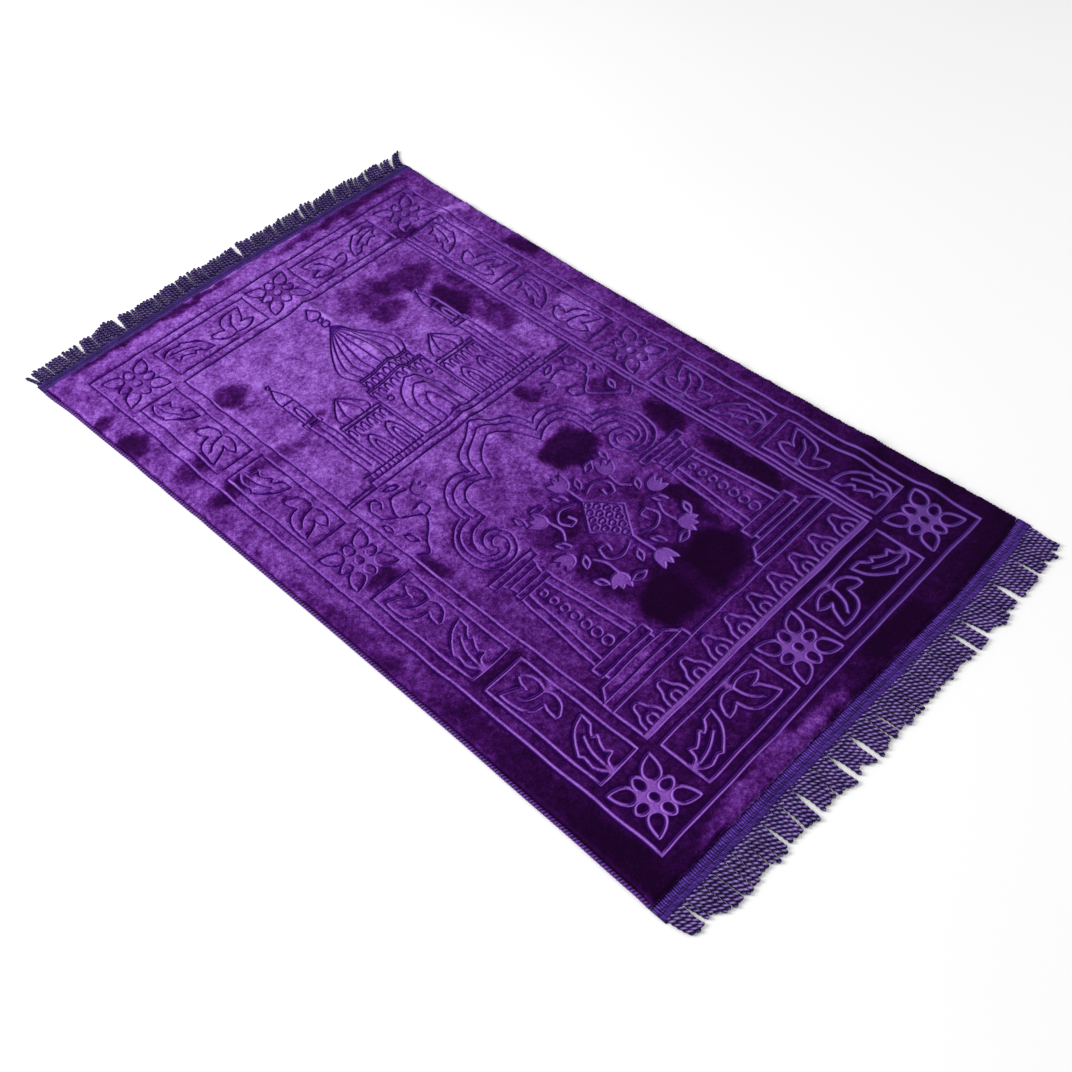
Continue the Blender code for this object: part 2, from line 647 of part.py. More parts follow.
def fringe(name, end, gaps, surface):
    """A ribbed header strip with strands drawn out of its outer face. The strip's long faces
    run in panels of STRANDS_A_PANEL, the strands' ends wander together and apart, some fall
    short, and a gap has no strand."""
    left, right = float(side_x(end * CLOTH_END, -1)), float(side_x(end * CLOTH_END, 1))
    count = int((right - left) / STRAND_PITCH)
    places = (left + right) / 2 + (np.arange(count) - (count - 1) / 2) * STRAND_PITCH
    points, faces = [], []

    def add(corners):
        first = len(points)
        points.extend(corners)
        return list(range(first, first + len(corners)))

    def skin(*corners):
        faces.append(list(corners) if end > 0 else list(reversed(corners)))

    def inner_at(x):
        return float(end_y(x, end)) + end * SEAM_GAP

    def inner_corners(x):
        y, middle = inner_at(x), inner_at(x) + end * HEADER_WIDTH / 2
        rib = HEADER_THICK + HEADER_RIB
        return add([(x, y, 0.0), (x, y, HEADER_THICK), (x, middle, rib)])

    def outer_corners(x):
        y = inner_at(x) + end * HEADER_WIDTH
        return add([(x, y, STRAND_SIZE), (x, y, 0.0)])

    def strand(x, a, b):
        """Two lengths of four-sided strand, turned as they go and level on the floor."""
        wave = math.sin(0.071 * x + end) + 0.6 * math.sin(0.163 * x + 2.1 * end)
        short = STRAND_SHORT * (0.5 + 0.5 * math.sin(2.4 * x + 1.3 * end)) ** 2
        start = inner_at(x) + end * HEADER_WIDTH
        reach = end * (FRINGE_END - short) - start
        section = [b[0], a[0], a[1], b[1]]
        for share, turn in ((0.5, 30.0), (1.0, 60.0)):
            middle = x + STRAND_DRIFT * wave * share**1.5
            following = add(strand_section(middle, start + reach * share, turn))
            for i in range(4):
                j = (i + 1) % 4
                skin(section[i], following[i], following[j], section[j])
            section = following
        skin(*reversed(section))

    edges = list(places[::STRANDS_A_PANEL] - STRAND_PITCH / 2) + [right]
    edges[0] = left
    inner, outer = inner_corners(left), outer_corners(left)
    skin(inner[0], inner[1], inner[2], outer[0], outer[1])
    for start, stop in zip(edges, edges[1:]):
        row = [outer]
        for x in places[(places > start) & (places < stop)]:
            if any(abs(x - gap) < STRAND_PITCH / 2 for gap in gaps):
                continue
            a, b = outer_corners(x - STRAND_SIZE / 2), outer_corners(x + STRAND_SIZE / 2)
            skin(row[-1][0], a[0], a[1], row[-1][1])
            strand(x, a, b)
            row += [a, b]
        next_inner, next_outer = inner_corners(stop), outer_corners(stop)
        skin(row[-1][0], next_outer[0], next_outer[1], row[-1][1])
        row.append(next_outer)
        skin(inner[0], next_inner[0], next_inner[1], inner[1])
        skin(inner[1], next_inner[1], next_inner[2], inner[2])
        skin(inner[2], next_inner[2], *[high for high, _ in reversed(row)])
        skin(next_inner[0], inner[0], *[low for _, low in row])
        inner, outer = next_inner, next_outer
    skin(outer[1], outer[0], inner[2], inner[1], inner[0])
    return add_piece(name, points, faces, surface, smooth=False)


def build():
    for obj in list(bpy.data.objects):
        bpy.data.objects.remove(obj)
    violet = plush("violet_plush", (0.105, 0.018, 0.245), 0.85)
    thread = plush("overlock_thread", (0.085, 0.03, 0.26), 0.7)
    cord = plush("fringe_cord", (0.055, 0.025, 0.19), 0.6)
    pile_cloth(violet)
    edge_bead("overlock_left", -1, thread)
    edge_bead("overlock_right", 1, thread)
    fringe("fringe_near", -1, (-305.0, -78.0, -48.0, 144.0, 217.0), cord)
    fringe("fringe_far", 1, (-252.0, -118.0, 30.0, 236.0), cord)


build()
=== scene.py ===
"""The looks of a flat plush prayer rug: a velvet pile with its pattern pressed in, overlocked
long edges, and at each end a looped braid with a fringe of twisted cords.

Lengths are in millimetres and become metres where a mesh is made. X runs across the rug, Y
along it to the far end, and Z up from the floor. The pattern is drawn in its own frame, with
u across and v along from the pattern's centre."""

import math

import bpy
import numpy as np
from mathutils import Matrix, Vector
from mathutils.geometry import delaunay_2d_cdt


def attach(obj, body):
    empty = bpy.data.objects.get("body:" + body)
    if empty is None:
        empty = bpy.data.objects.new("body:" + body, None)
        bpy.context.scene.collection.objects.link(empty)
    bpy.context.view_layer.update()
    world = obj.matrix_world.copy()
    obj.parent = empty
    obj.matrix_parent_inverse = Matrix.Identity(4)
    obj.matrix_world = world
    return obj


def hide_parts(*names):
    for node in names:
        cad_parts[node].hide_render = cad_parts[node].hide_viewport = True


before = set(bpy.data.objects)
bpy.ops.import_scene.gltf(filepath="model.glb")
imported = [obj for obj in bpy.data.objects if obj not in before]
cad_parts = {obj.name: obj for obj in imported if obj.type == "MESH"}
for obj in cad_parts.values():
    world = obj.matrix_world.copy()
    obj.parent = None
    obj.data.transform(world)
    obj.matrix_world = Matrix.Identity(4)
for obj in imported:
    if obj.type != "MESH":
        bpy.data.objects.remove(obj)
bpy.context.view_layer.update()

MM = 0.001
SEAM_GAP = 0.3

# The cloth
HALF_WIDTH = 333.0
CLOTH_END = 509.0
PILE_TOP = 7.0
PILE_EDGE = 3.6  # height of the pile's wall at its outline
PILE_UNEVEN = 0.35  # rise and fall of the crushed pile
RIM_ROWS = ((0.0, 0.0), (0.7, 0.42), (1.7, 0.74), (3.0, 0.93), (4.6, 1.0))  # inset, share of height
RIM_STEP = 2.6
FRAY = 2.4  # how far the pile's top hangs over the braid at most
FRAY_MEAN = 0.55  # share of it that hangs over without the waves
FRAY_WAVES = ((0.3, 22.0, 7), (0.3, 6.5, 61))  # amount, length and seed of each
TUFTS = {-1: (0.0, 0.0), 1: (1.9, 1.5)}  # how far it hangs over an edge's bead, and its raggedness
TUFT_WAVES = ((0.6, 7.5, 81), (0.5, 19.0, 82))
CORNER_RISE = 14  # the overhang reaches its full size in a 14th of half a side from a corner
PILE_WAVES = ((1.0, 34.0, 5), (0.6, 13.0, 6))
FIELD_STEP = 5.6
FIELD_MARGIN = 8.0
FLOOR_STEP = 24.0
FLOOR_MARGIN = 14.0
ROW_SPACING = 0.87  # between rows of loose points, as a share of the step along them
JOG = 0.2  # how far a loose point is moved, as a share of the step

# The pressed lines
CENTRE_U, CENTRE_V = 3.0, 0.0
PRESS_DEPTH = 2.3
PRESS_HALF = 2.5  # from the line's middle to the shoulder's top
LINE_ROWS = (0.0, 0.9, 1.8, 2.8)
LINE_CLEAR = 1.2  # least way from the outermost of them to a loose point
FILL_SHARE = 0.8  # depth of a pressed area against a line's
HALO = 9.0  # how far the pile is stirred beside a line
STRAIGHT_STEP = 12.0
CURVE_STEP = 2.8
MITRE_LIMIT = 1.8
WELD = 0.16
HAND_DRIFT = 0.7  # sideways wander of the lines
RIGHT_DRAWN_IN = 4.5  # how far the cloth has pulled the right side's lines in, half-way along
MIDDLE_PUSHED = 1.5  # how far it has pushed the middle's lines towards the far end
NEAR_RIGHT_PUSHED = 2.0  # and the near right corner's; the near left one's go back as far

# Overlocked edges
BEAD_WIDTH = 5.0
BEAD_HEIGHT = {-1: 5.0, 1: 3.0}  # left, right
BEAD_SIDES = 7
BEAD_STATIONS = 340
BEAD_ROUND = 0.7  # power of the sine in its section: below 1 is squarer than a half round
STITCH_PITCH = 4.1
STITCH_HALF = 1.25
STITCH_RISE = 0.75
STITCH_SLANT = 3.4
STITCH_STEPS = 8
STITCH_MARGIN = 2.0  # from the bead's ends
STITCH_JITTER = 0.35
STITCH_VARIES = (0.86, 1.12)  # narrowest and widest, as shares of STITCH_HALF
STITCH_START, STITCH_SPAN = 0.02, 0.96  # where it starts round the bead, and how far it goes
STITCH_SECTION = (  # place along the edge in half widths, share of STITCH_RISE
    (-1.0, 0.05), (-0.55, 0.85), (0.55, 0.85), (1.0, 0.05), (0.0, -0.6),
)

# Braid and cords
BRAID_WIDTH = 19.0
BRAID_THICK = 1.5
BRAID_RIB = 1.2
BRAID_ROWS = 17
BRAID_COLUMNS_A_LOOP = 7
LOOP_PITCH = 2.9
BRAID_INSET = 1.0  # from the cloth's sides
BRAID_BASE = 0.4
BRAID_BELTS = (  # the broad loops, the knots, the fine loops: start, rise, stop, fall
    (0.3, 1.4, 8.6, 1.2), (7.9, 0.9, 10.6, 0.9), (10.2, 1.0, 17.6, 1.4),
)
BRAID_EDGE_WANDER = 0.04  # share of its width
CORD_PITCH = 5.6
CORD_RADIUS = 2.8
CORD_SECTION = (1.0, 0.96, 0.82, 0.48, 0.82, 0.96) * 2  # two strands: the radius round the cord
CORD_FLATNESS = 0.75  # height against width
CORD_TWIST = 11.5  # length of one whole turn
CORD_STEPS = 28
CORD_ROOT = 15.5  # where it starts under the braid, measured out from the pile
CORD_INSET = 2.5  # from the cloth's sides
CORD_JITTER = 0.35
LENGTH_SPREAD, LENGTH_WAVES = 1.4, ((2.4, 38.0, 51),)
BEND_SPREAD, BEND_WAVES = 0.6, ((1.8, 40.0, 53),)
CORD_SETTLES = 22.0  # how far out of the braid it reaches the floor and its place beside a gap
CORD_TUCK, TUCK_LENGTH = 2.0, 6.0  # where it starts to rise under the braid's edge, and over what
TUCK_HEIGHT = 0.4  # the share of its height that it has before
CORD_OVER_FLOOR = 0.1
CORD_MIDDLE = 0.95  # height of its middle in radii, so that its underside is a little flat
TIP_START, TIP_RADIUS = 0.97, 0.6  # shares of its length and of its radius
CREST_POWER, CREST_LOW = 4, 0.12  # how narrow the light on a crest is; what is left of it below
CORD_LENGTHS = {  # across, length of the cords there, measured out from the pile
    -1: (
        (-333, 43.0), (-296, 46.0), (-290, 53.0), (-190, 54.0), (-40, 57.0), (60, 56.0),
        (333, 54.0),
    ),
    1: (
        (-333, 41.0), (-300, 45.0), (-240, 50.0), (-200, 51.0), (60, 50.0), (200, 53.0),
        (260, 49.0), (333, 50.0),
    ),
}
CORD_LEANS = {  # across, how far the tips lean to the right there
    -1: (
        (-333, 5.0), (-300, 4.0), (-240, 0.0), (-150, -1.0), (0, 1.0), (200, 0.0),
        (315, 1.0), (328, 10.0),
    ),
    1: (
        (-333, -2.0), (-250, 1.0), (-100, 4.0), (60, 6.0), (150, 12.0), (260, 15.0),
        (290, 9.0), (330, 20.0),
    ),
}
# How much painted highlight the crests keep at each end: less at the far end, whose braid and cords are
# painted darker
CORD_SHINE = {-1: 1.0, 1: 0.65}
BRAID_SHINE = {-1: 1.0, 1: 0.75}
CORD_GAPS = {  # across, how far each side is pushed, how far that reaches along
    -1: (
        (-308.0, 3.0, 10.0), (-188.0, 2.2, 10.0), (-160.0, 2.0, 8.0), (-140.0, 3.6, 12.0),
        (-83.0, 4.2, 14.0), (-52.0, 4.0, 14.0), (-10.0, 1.8, 9.0), (132.0, 3.8, 14.0),
        (151.0, 3.0, 10.0), (222.0, 4.0, 14.0), (263.0, 2.2, 10.0), (318.0, 3.8, 12.0),
    ),
    1: (
        (-326.0, 2.5, 10.0), (-250.0, 3.2, 12.0), (-185.0, 3.6, 12.0), (25.0, 4.0, 14.0),
        (140.0, 2.6, 10.0), (265.0, 3.2, 12.0), (315.0, 3.2, 12.0),
    ),
}

# Threads
THREADS = {  # painted shade between its turns and painted highlight on their crests, specular, roughness, streak
    "overlock_thread": ((0.024, 0.001, 0.075), (0.215, 0.055, 0.44), 0.1, 0.5, (1.0, 6.0, 1.0)),
    "braid_thread": ((0.003, 0.0002, 0.030), (0.185, 0.058, 0.57), 0.1, 0.55, (5.0, 1.0, 1.0)),
    "cord_thread": ((0.005, 0.0003, 0.042), (0.50, 0.31, 0.86), 0.1, 0.55, (5.0, 1.0, 1.0)),
}

# The sheet, floor, light and camera, in metres and degrees
FLOOR_HALF = 6.0
WORLD_LIGHT = 0.62
LAMPS = (  # name, position, size in metres, watts
    ("window", (-2.1, 1.7, 1.7), 1.6, 95.0),
    ("fill", (1.6, -1.8, 2.0), 2.2, 12.0),
)
# The camera was fitted to the pattern's border in the photo
CAMERA_TARGET = (-0.1503, -0.0348, 0.0)
CAMERA_DISTANCE, CAMERA_LENS, CAMERA_SHIFT = 1.4994, 43.331, 0.0933
CAMERA_AZIMUTH, CAMERA_ELEVATION, CAMERA_ROLL = 41.076, 50.273, -4.418
SENSOR_WIDTH = 36.0  # in millimetres, as the lens is

# The outline, the soft ridges and the crease
SIDE_DRAW_IN = (  # along, left side, right side
    (509.0, 0.0, 0.0),
    (440.0, 3.5, 5.0),
    (300.0, 5.5, 9.0),
    (120.0, 7.0, 14.0),
    (-60.0, 7.5, 16.0),
    (-220.0, 7.0, 15.0),
    (-380.0, 5.0, 12.5),
    (-480.0, 3.0, 10.0),
    (-509.0, 1.5, 10.0),
)
END_DRAW_IN = (  # across, near end, far end
    (-333.0, 7.0, -1.0),
    (-150.0, 6.0, -3.5),
    (-40.0, 4.0, -6.0),
    (60.0, 1.5, -5.0),
    (175.0, 0.0, -2.0),
    (260.0, 2.0, 1.0),
    (333.0, 8.0, 2.0),
)
RIDGES = (  # across, along, turned from X in degrees, half length, half width, height
    (2.0, 120.0, 90.0, 330.0, 20.0, 2.8),
    (2.0, -330.0, 90.0, 150.0, 18.0, 2.2),
    (-262.0, 330.0, 8.0, 95.0, 30.0, 4.2),
    (-270.0, 262.0, -6.0, 85.0, 26.0, 3.6),
    (-268.0, 196.0, 10.0, 90.0, 24.0, 3.8),
    (255.0, 392.0, -14.0, 90.0, 20.0, 4.6),
    (262.0, -235.0, 24.0, 80.0, 26.0, 3.4),
    (270.0, -322.0, 12.0, 75.0, 28.0, 4.4),
    (272.0, -412.0, 4.0, 70.0, 24.0, 4.0),
)

CREASE_X = 12.0  # the sharp fold down the middle: its crest, and the reach of its two flanks
CREASE_LEFT, CREASE_RIGHT, CREASE_SHARPNESS = 32.0, 13.0, 1.4
CREASE_HEIGHTS = (  # along, height
    (-509.0, 0.0), (-470.0, 0.6), (-340.0, 1.2), (-100.0, 1.2), (0.0, 2.2), (64.0, 4.2),
    (110.0, 5.6), (160.0, 6.2), (300.0, 5.6), (385.0, 5.6), (430.0, 3.0), (475.0, 1.0), (509.0, 0.0),
)
CREASE_COLUMNS = (-20.0, -14.0, -8.0, -3.5, 0.0, 3.5, 7.0, 11.0)  # its own points, from the crest
CREASE_STEP = 5.0
CREASE_CLEAR = 2.5  # least way from its points to a loose one

# The lie of the pile, its painted sheen and shade, and the velvet
RIM_END = 480.0
RIM_HIGHLIGHT_NEAR, RIM_SHADE_FAR, RIM_SHADE_SIDE = 0.25, -0.5, -0.12  # painted highlight down the near rim, painted shade down the far rim and the sides
# Painted sheen and shade: the numbers below are painted into the velvet's colour, lighter where the pile's
# sheen catches the light and darker where it does not; some patches also paint the light and shade of the
# folds, the crease and the far edge
# Where the pile lies: 0 is against the viewer's stroke and dark, 1 with it and bright. The next
# two lines were fitted to the photo's brightness and rounded; the patches were set one by one.
NAP_SHEEN_MIDDLE, NAP_SHEEN_ALONG, NAP_SHEEN_ACROSS = 0.580, 0.00050, -0.00015
NAP_SHEEN_ALONG_SQUARED, NAP_SHEEN_ACROSS_SQUARED = -6.4e-07, -1.3e-06
NAP_SHEEN_WARP, NAP_SHEEN_WARP_LENGTH = 5.0, 40.0
# Painted light and shade: the way in plan that a light is taken to come from, and how much lighter it
# makes walls that face it and darker those that face away
PAINTED_LIGHT_FROM, PAINTED_WALL_SHADING = (-0.7, 0.7), 0.30
# Painted sheen of pressed pile: its brightness in dark ground, and how it falls across to the right
PRESS_GLOW, PRESS_GLOW_ACROSS = 0.725, -0.0003
MOTTLING = (  # size of the lumps, detail, roughness, amount
    (42.0, 3.0, 0.5, 0.42),
    (15.0, 3.0, 0.6, 0.5),
    (5.0, 3.0, 0.7, 0.85),
)
BAND_REACH, BAND_NARROWS = 2.0, 0.85  # of a line's band of painted sheen in dark ground; by how much in bright
LINE_LIFT, LINE_FALL, LINE_FALL_POWER = 0.05, 0.70, 1.8  # glow + lift - fall * ground^power
FILL_FALL = 0.27  # a pressed area's: glow - fall * ground
GROOVE_SHADOW_ASIDE = 0.9  # how far from the line's middle its painted groove shadow lies in dark ground
GROOVE_SHADOW_HALF = 0.75  # the painted groove shadow's half width in dark ground, twice that in bright
GROOVE_SHADOW_DARK, GROOVE_SHADOW_FLOOR = 0.85, 0.10  # how far the painted groove shadow goes down, and to what
# colour of the painted groove shadow and of the rim's painted shading
GROOVE_SHADE_TINT = (0.040, 0.0005, 0.21, 1.0)
COOL_TINT, COOL_BELOW = (0.085, 0.055, 0.235, 1.0), 0.78  # hue of the painted sheen on pressed pile in dark ground; it comes in where the glow is less
# the velvet's colour for each value of its painted sheen and shade
VELVET_STOPS = (
    (0.0, (0.0090, 0.0006, 0.0145)),
    (1.0, (0.3700, 0.1650, 0.6450)),
    (0.2, (0.0290, 0.0022, 0.0580)),
    (0.4, (0.0700, 0.0090, 0.1400)),
    (0.6, (0.1360, 0.0330, 0.2650)),
    (0.8, (0.2260, 0.0770, 0.4250)),
)
DEEP, DARK, DIM, FAINT, LIT, BRIGHT = -0.4, -0.3, -0.2, -0.1, 0.15, 0.3  # changes of the painted sheen and shade
NAP_SHEEN_AND_SHADE_PATCHES = (  # across, along, turned in degrees, half length, half width, change
    # the far band
    (-150, 508, 0, 180, 8, DEEP),
    (180, 500, 0, 150, 12, DARK),
    (-315, 400, 0, 20, 18, DARK),
    (-310, 340, 0, 25, 30, DEEP),
    (210, 400, -30, 25, 14, DARK),
    (260, 350, 90, 50, 25, LIT),
    (300, 385, -25, 30, 10, BRIGHT),
    # the far field, left
    (-175, 320, 70, 25, 25, DARK),
    (-170, 285, 0, 30, 16, FAINT),
    (-290, 250, 0, 30, 16, DIM),
    (-215, 195, -5, 100, 12, DIM),
    (-130, 206, 5, 30, 12, DARK),
    (-280, 188, 0, 35, 16, DARK),
    # the far field, right
    (15, 250, 90, 140, 10, LIT),
    (75, 340, 0, 50, 35, DIM),
    (140, 320, 0, 55, 30, DARK),
    (80, 290, 0, 30, 25, DARK),
    (150, 240, 90, 50, 30, DEEP),
    (185, 240, 90, 60, 14, DIM),
    (172, 175, 90, 35, 25, DIM),
    (303, 255, 90, 35, 18, DARK),
    (175, 110, 90, 35, 22, LIT),
    (245, 105, 90, 50, 35, LIT),
    (20, 90, 90, 30, 15, LIT),
    # round the arch
    (90, 40, 80, 25, 18, DARK),
    (-315, -60, 90, 120, 14, FAINT),
    (-240, -40, 0, 32, 12, DARK),
    (-188, -72, 90, 28, 14, DARK),
    (165, -20, 0, 35, 22, DIM),
    (240, -15, 90, 35, 25, LIT),
    (55, -60, 0, 45, 38, DEEP),
    (175, -105, 90, 40, 22, DARK),
    # between and beside the columns
    (5, -200, 90, 140, 85, FAINT),
    (-50, -135, 0, 45, 30, DIM),
    (0, -175, 90, 40, 35, LIT),
    (-70, -215, 90, 50, 20, DIM),
    (85, -215, 90, 60, 16, DARK),
    (178, -225, 90, 70, 18, DARK),
    (-240, -218, 0, 40, 12, DIM),
    (0, -285, 0, 100, 50, DIM),
    (-45, -295, 0, 42, 40, DIM),
    (50, -295, 0, 42, 40, DIM),
    (-135, -325, 0, 55, 14, LIT),
    (-305, -340, 90, 160, 25, FAINT),
    (270, -330, 90, 90, 40, FAINT),
    # the near band
    (110, -390, 0, 90, 12, DIM),
    (120, -430, 0, 78, 30, DIM),
    (-310, -450, 90, 60, 30, FAINT),
    (-130, -495, 0, 150, 18, BRIGHT),
    (90, -490, 0, 60, 16, DIM),
)

# The pattern
OUTER_RULE = (286.0, 475.0)
FIELD_RULE = (197.0, 385.0)
BAND_PANEL = (42.0, 193.0, 399.0, 460.0)  # u from, u to, v from, v to
SIDE_PANELS = ((213.0, 269.5, 52.0, 208.0), (213.0, 269.5, 225.0, 385.0))
ROSETTES = ((242.0, 430.0), (0.0, 430.0), (241.0, 0.0))
ROSETTE_PETALS = (  # first turn in degrees, centre to root, centre to tip, width, pointedness
    (45.0, 16.5, 46.0, 19.0, 0.9),
    (0.0, 9.8, 27.5, 14.0, 0.3),
)
ROSETTE_FILL = 21.0
BAND_LEAF = (192.0, 438.0)
BAND_SPRIG_U = 89.0
SIDE_LEAF_U = 249.0
SIDE_SPRIG_RISE = 47.0
ARCADE_FOOT, ARCADE_RULE, ARCADE_PITCH, ARCADE_COUNT = -385.0, -339.0, 38.8, 10
ARCADE_STRIP = 5.0  # width of its pressed foot
DIVIDING_RULE = 64.0
COLUMN_U = 131.0
COLUMN_BLOCKS = (  # top, foot, half width at the top and at the foot
    (-134.0, -144.0, 36.0, 36.0),
    (-144.0, -152.5, 26.0, 24.0),
    (-152.5, -164.0, 22.0, 20.0),
    (-164.0, -173.5, 25.0, 25.0),
    (-289.0, -304.0, 42.0, 42.0),
    (-304.0, -312.5, 37.0, 37.0),
    (-312.5, -326.0, 51.0, 62.0),
    (-326.0, -339.0, 66.0, 66.0),
)
SHAFT_LINES = ((24.0, 34.5), (13.0, 23.0))
SHAFT_TOP, SHAFT_FOOT = -173.5, -289.0
BEADS, BEAD_TOP, BEAD_FOOT, BEAD_SMALL, BEAD_LARGE = 7, -185.0, -277.0, 4.2, 6.4


# ---------------------------------------------------------------- outline and folds


def along_table(rows, column, place):
    """The column's value at a place, by a smooth blend between the two nearest rows."""
    rows = sorted(rows)
    stations = np.array([row[0] for row in rows])
    values = np.array([row[column] for row in rows])
    place = np.clip(place, stations[0], stations[-1])
    slot = np.clip(np.searchsorted(stations, place) - 1, 0, len(rows) - 2)
    share = (place - stations[slot]) / (stations[slot + 1] - stations[slot])
    blend = share * share * (3 - 2 * share)
    return values[slot] + blend * (values[slot + 1] - values[slot])


def side_x(y, side):
    """The outer face of the edge bead: side is -1 for the left and 1 for the right."""
    return side * (HALF_WIDTH - along_table(SIDE_DRAW_IN, 1 if side < 0 else 2, y))


def end_y(x, end):
    """Where the pile stops: end is -1 for the near end and 1 for the far one."""
    return end * (CLOTH_END - along_table(END_DRAW_IN, 1 if end < 0 else 2, x))


def mounds(x, y, table):
    """The sum over the table's ellipses of height (1 - r^2)^2, each zero past its edge."""
    total = np.zeros(np.shape(x))
    for across, along, turn, half_long, half_wide, height in table:
        cos, sin = math.cos(math.radians(turn)), math.sin(math.radians(turn))
        p = ((x - across) * cos + (y - along) * sin) / half_long
        q = ((y - along) * cos - (x - across) * sin) / half_wide
        total = total + height * np.clip(1 - p * p - q * q, 0, None) ** 2
    return total


def lift(x, y):
    """How far the cloth stands off the floor: the ridges and the crease, whose section is a
    tent to the power CREASE_SHARPNESS, steeper on its right."""
    reach = np.where(x < CREASE_X, CREASE_LEFT, CREASE_RIGHT)
    tent = np.clip(1 - np.abs(x - CREASE_X) / reach, 0, 1) ** CREASE_SHARPNESS
    return mounds(x, y, RIDGES) + tent * along_table(CREASE_HEIGHTS, 1, y)


def ripple(x, y, length, seed):
    """Smooth unevenness, mostly from -1 to 1: a third of the sum of six plane waves of about
    that length, each turned and shifted by the seed."""
    draw = np.random.default_rng(seed)
    total = np.zeros(np.shape(x))
    for _ in range(6):
        turn, shift = draw.uniform(0, math.pi), draw.uniform(0, 2 * math.pi)
        wave = 2 * math.pi / (length * draw.uniform(0.6, 1.6))
        total = total + np.sin(wave * (x * math.cos(turn) + y * math.sin(turn)) + shift)
    return total / 3.0


def ripples(x, y, waves, shift=0, base=0.0):
    """A base with several ripples on it: the amount, length and seed of each, and a shift of
    the seeds, by which the two ends differ."""
    for amount, length, seed in waves:
        base = base + amount * ripple(x, y, length, seed + shift)
    return base


def nap_sheen_and_shade_at(x, y):
    """Painted sheen and shade of the pile's lie: a gentle bowl in x and y, and over it the
    patches, each a flat-topped mound s(1.5 (1 - r^2)) of its change, with s a smooth step and
    its edge warped by ripples."""
    bowl = NAP_SHEEN_MIDDLE + NAP_SHEEN_ALONG * y + NAP_SHEEN_ACROSS * x
    bowl = bowl + NAP_SHEEN_ALONG_SQUARED * y**2 + NAP_SHEEN_ACROSS_SQUARED * x**2
    warped_x = x + NAP_SHEEN_WARP * ripple(x, y, NAP_SHEEN_WARP_LENGTH, 71)
    warped_y = y + NAP_SHEEN_WARP * ripple(x, y, NAP_SHEEN_WARP_LENGTH, 72)
    for across, along, turn, half_long, half_wide, change in NAP_SHEEN_AND_SHADE_PATCHES:
        cos, sin = math.cos(math.radians(turn)), math.sin(math.radians(turn))
        p = ((warped_x - across) * cos + (warped_y - along) * sin) / half_long
        q = ((warped_y - along) * cos - (warped_x - across) * sin) / half_wide
        bowl = bowl + change * smooth_step(1.5 * (1 - p * p - q * q))
    return bowl


# ---------------------------------------------------------------- drawing


def straight(*knots, closed=False):
    """Runs between the knots, with a point every STRAIGHT_STEP at most."""
    knots = [np.array(knot, float) for knot in knots]
    if closed:
        knots.append(knots[0])
    points = []
    for start, stop in zip(knots, knots[1:]):
        count = max(1, math.ceil(np.linalg.norm(stop - start) / STRAIGHT_STEP))
        points.append(start + (stop - start) * (np.arange(count) / count)[:, None])
    if not closed:
        points.append(knots[-1][None])
    return np.vstack(points), closed


def curve(*knots, closed=False, sharp=()):
    """Cubic spans through the knots; the knots numbered in sharp are corners."""
    knots = np.array(knots, float)
    count = len(knots)
    points = []
    for i in range(count if closed else count - 1):
        j = (i + 1) % count
        before = knots[i - 1] if closed or i > 0 else knots[i]
        after = knots[(j + 1) % count] if closed or j + 1 < count else knots[j]
        leave = (knots[j] - knots[i]) if i in sharp else (knots[j] - before) / 2
        arrive = (knots[j] - knots[i]) if j in sharp else (after - knots[i]) / 2
        steps = max(1, round(np.linalg.norm(knots[j] - knots[i]) / CURVE_STEP))
        t = np.arange(steps)[:, None] / steps
        points.append(
            (2 * t**3 - 3 * t**2 + 1) * knots[i]
            + (t**3 - 2 * t**2 + t) * leave
            + (3 * t**2 - 2 * t**3) * knots[j]
            + (t**3 - t**2) * arrive
        )
    if not closed:
        points.append(knots[-1:])
    return np.vstack(points), closed


def rectangle(u0, u1, v0, v1):
    return straight((u0, v0), (u1, v0), (u1, v1), (u0, v1), closed=True)


def ring(u, v, radius_u, radius_v=None):
    radius_v = radius_v or radius_u
    turn = np.linspace(0, 2 * math.pi, max(9, round(3 * radius_u)), endpoint=False)
    return np.column_stack([u + radius_u * np.cos(turn), v + radius_v * np.sin(turn)]), True


def placed(line, u=0.0, v=0.0, degrees=0.0, flip_u=1, flip_v=1):
    """The line turned, mirrored where a flip is -1, and moved to (u, v)."""
    points, closed = line
    cos, sin = math.cos(math.radians(degrees)), math.sin(math.radians(degrees))
    turned = points @ np.array([[cos, sin], [-sin, cos]])
    return turned * (flip_u, flip_v) + (u, v), closed


class Drawing:
    """Pressed lines, pressed areas, and the standing areas that are cut out of those."""

    def __init__(self, lines=(), areas=(), islands=()):
        self.lines, self.areas, self.islands = list(lines), list(areas), list(islands)

    def __add__(self, other):
        return Drawing(
            self.lines + other.lines, self.areas + other.areas, self.islands + other.islands
        )

    def each(self, change):
        return Drawing(*[[change(s) for s in kind] for kind in (self.lines, self.areas, self.islands)])

    def at(self, *place, **flips):
        return self.each(lambda shape: placed(shape, *place, **flips))

    def mirrored(self):
        """The drawing and its mirror image across the rug's long middle."""
        return self + self.at(flip_u=-1)

    def four_ways(self):
        both = self.mirrored()
        return both + both.at(flip_v=-1)


def drawings(parts):
    return sum(parts, Drawing())


# ---------------------------------------------------------------- motifs


def petal(root, tip, width, pointed):
    """A drop along +u: (cos t, sin t |sin(t/2)|^pointed) stretched, round at the root."""
    t = np.linspace(0, 2 * math.pi, 26, endpoint=False)
    across = np.sin(t) * np.abs(np.sin(t / 2)) ** pointed
    u = (root + tip) / 2 + (tip - root) / 2 * np.cos(t)
    return np.column_stack([u, width / 2 * across / across.max()]), True


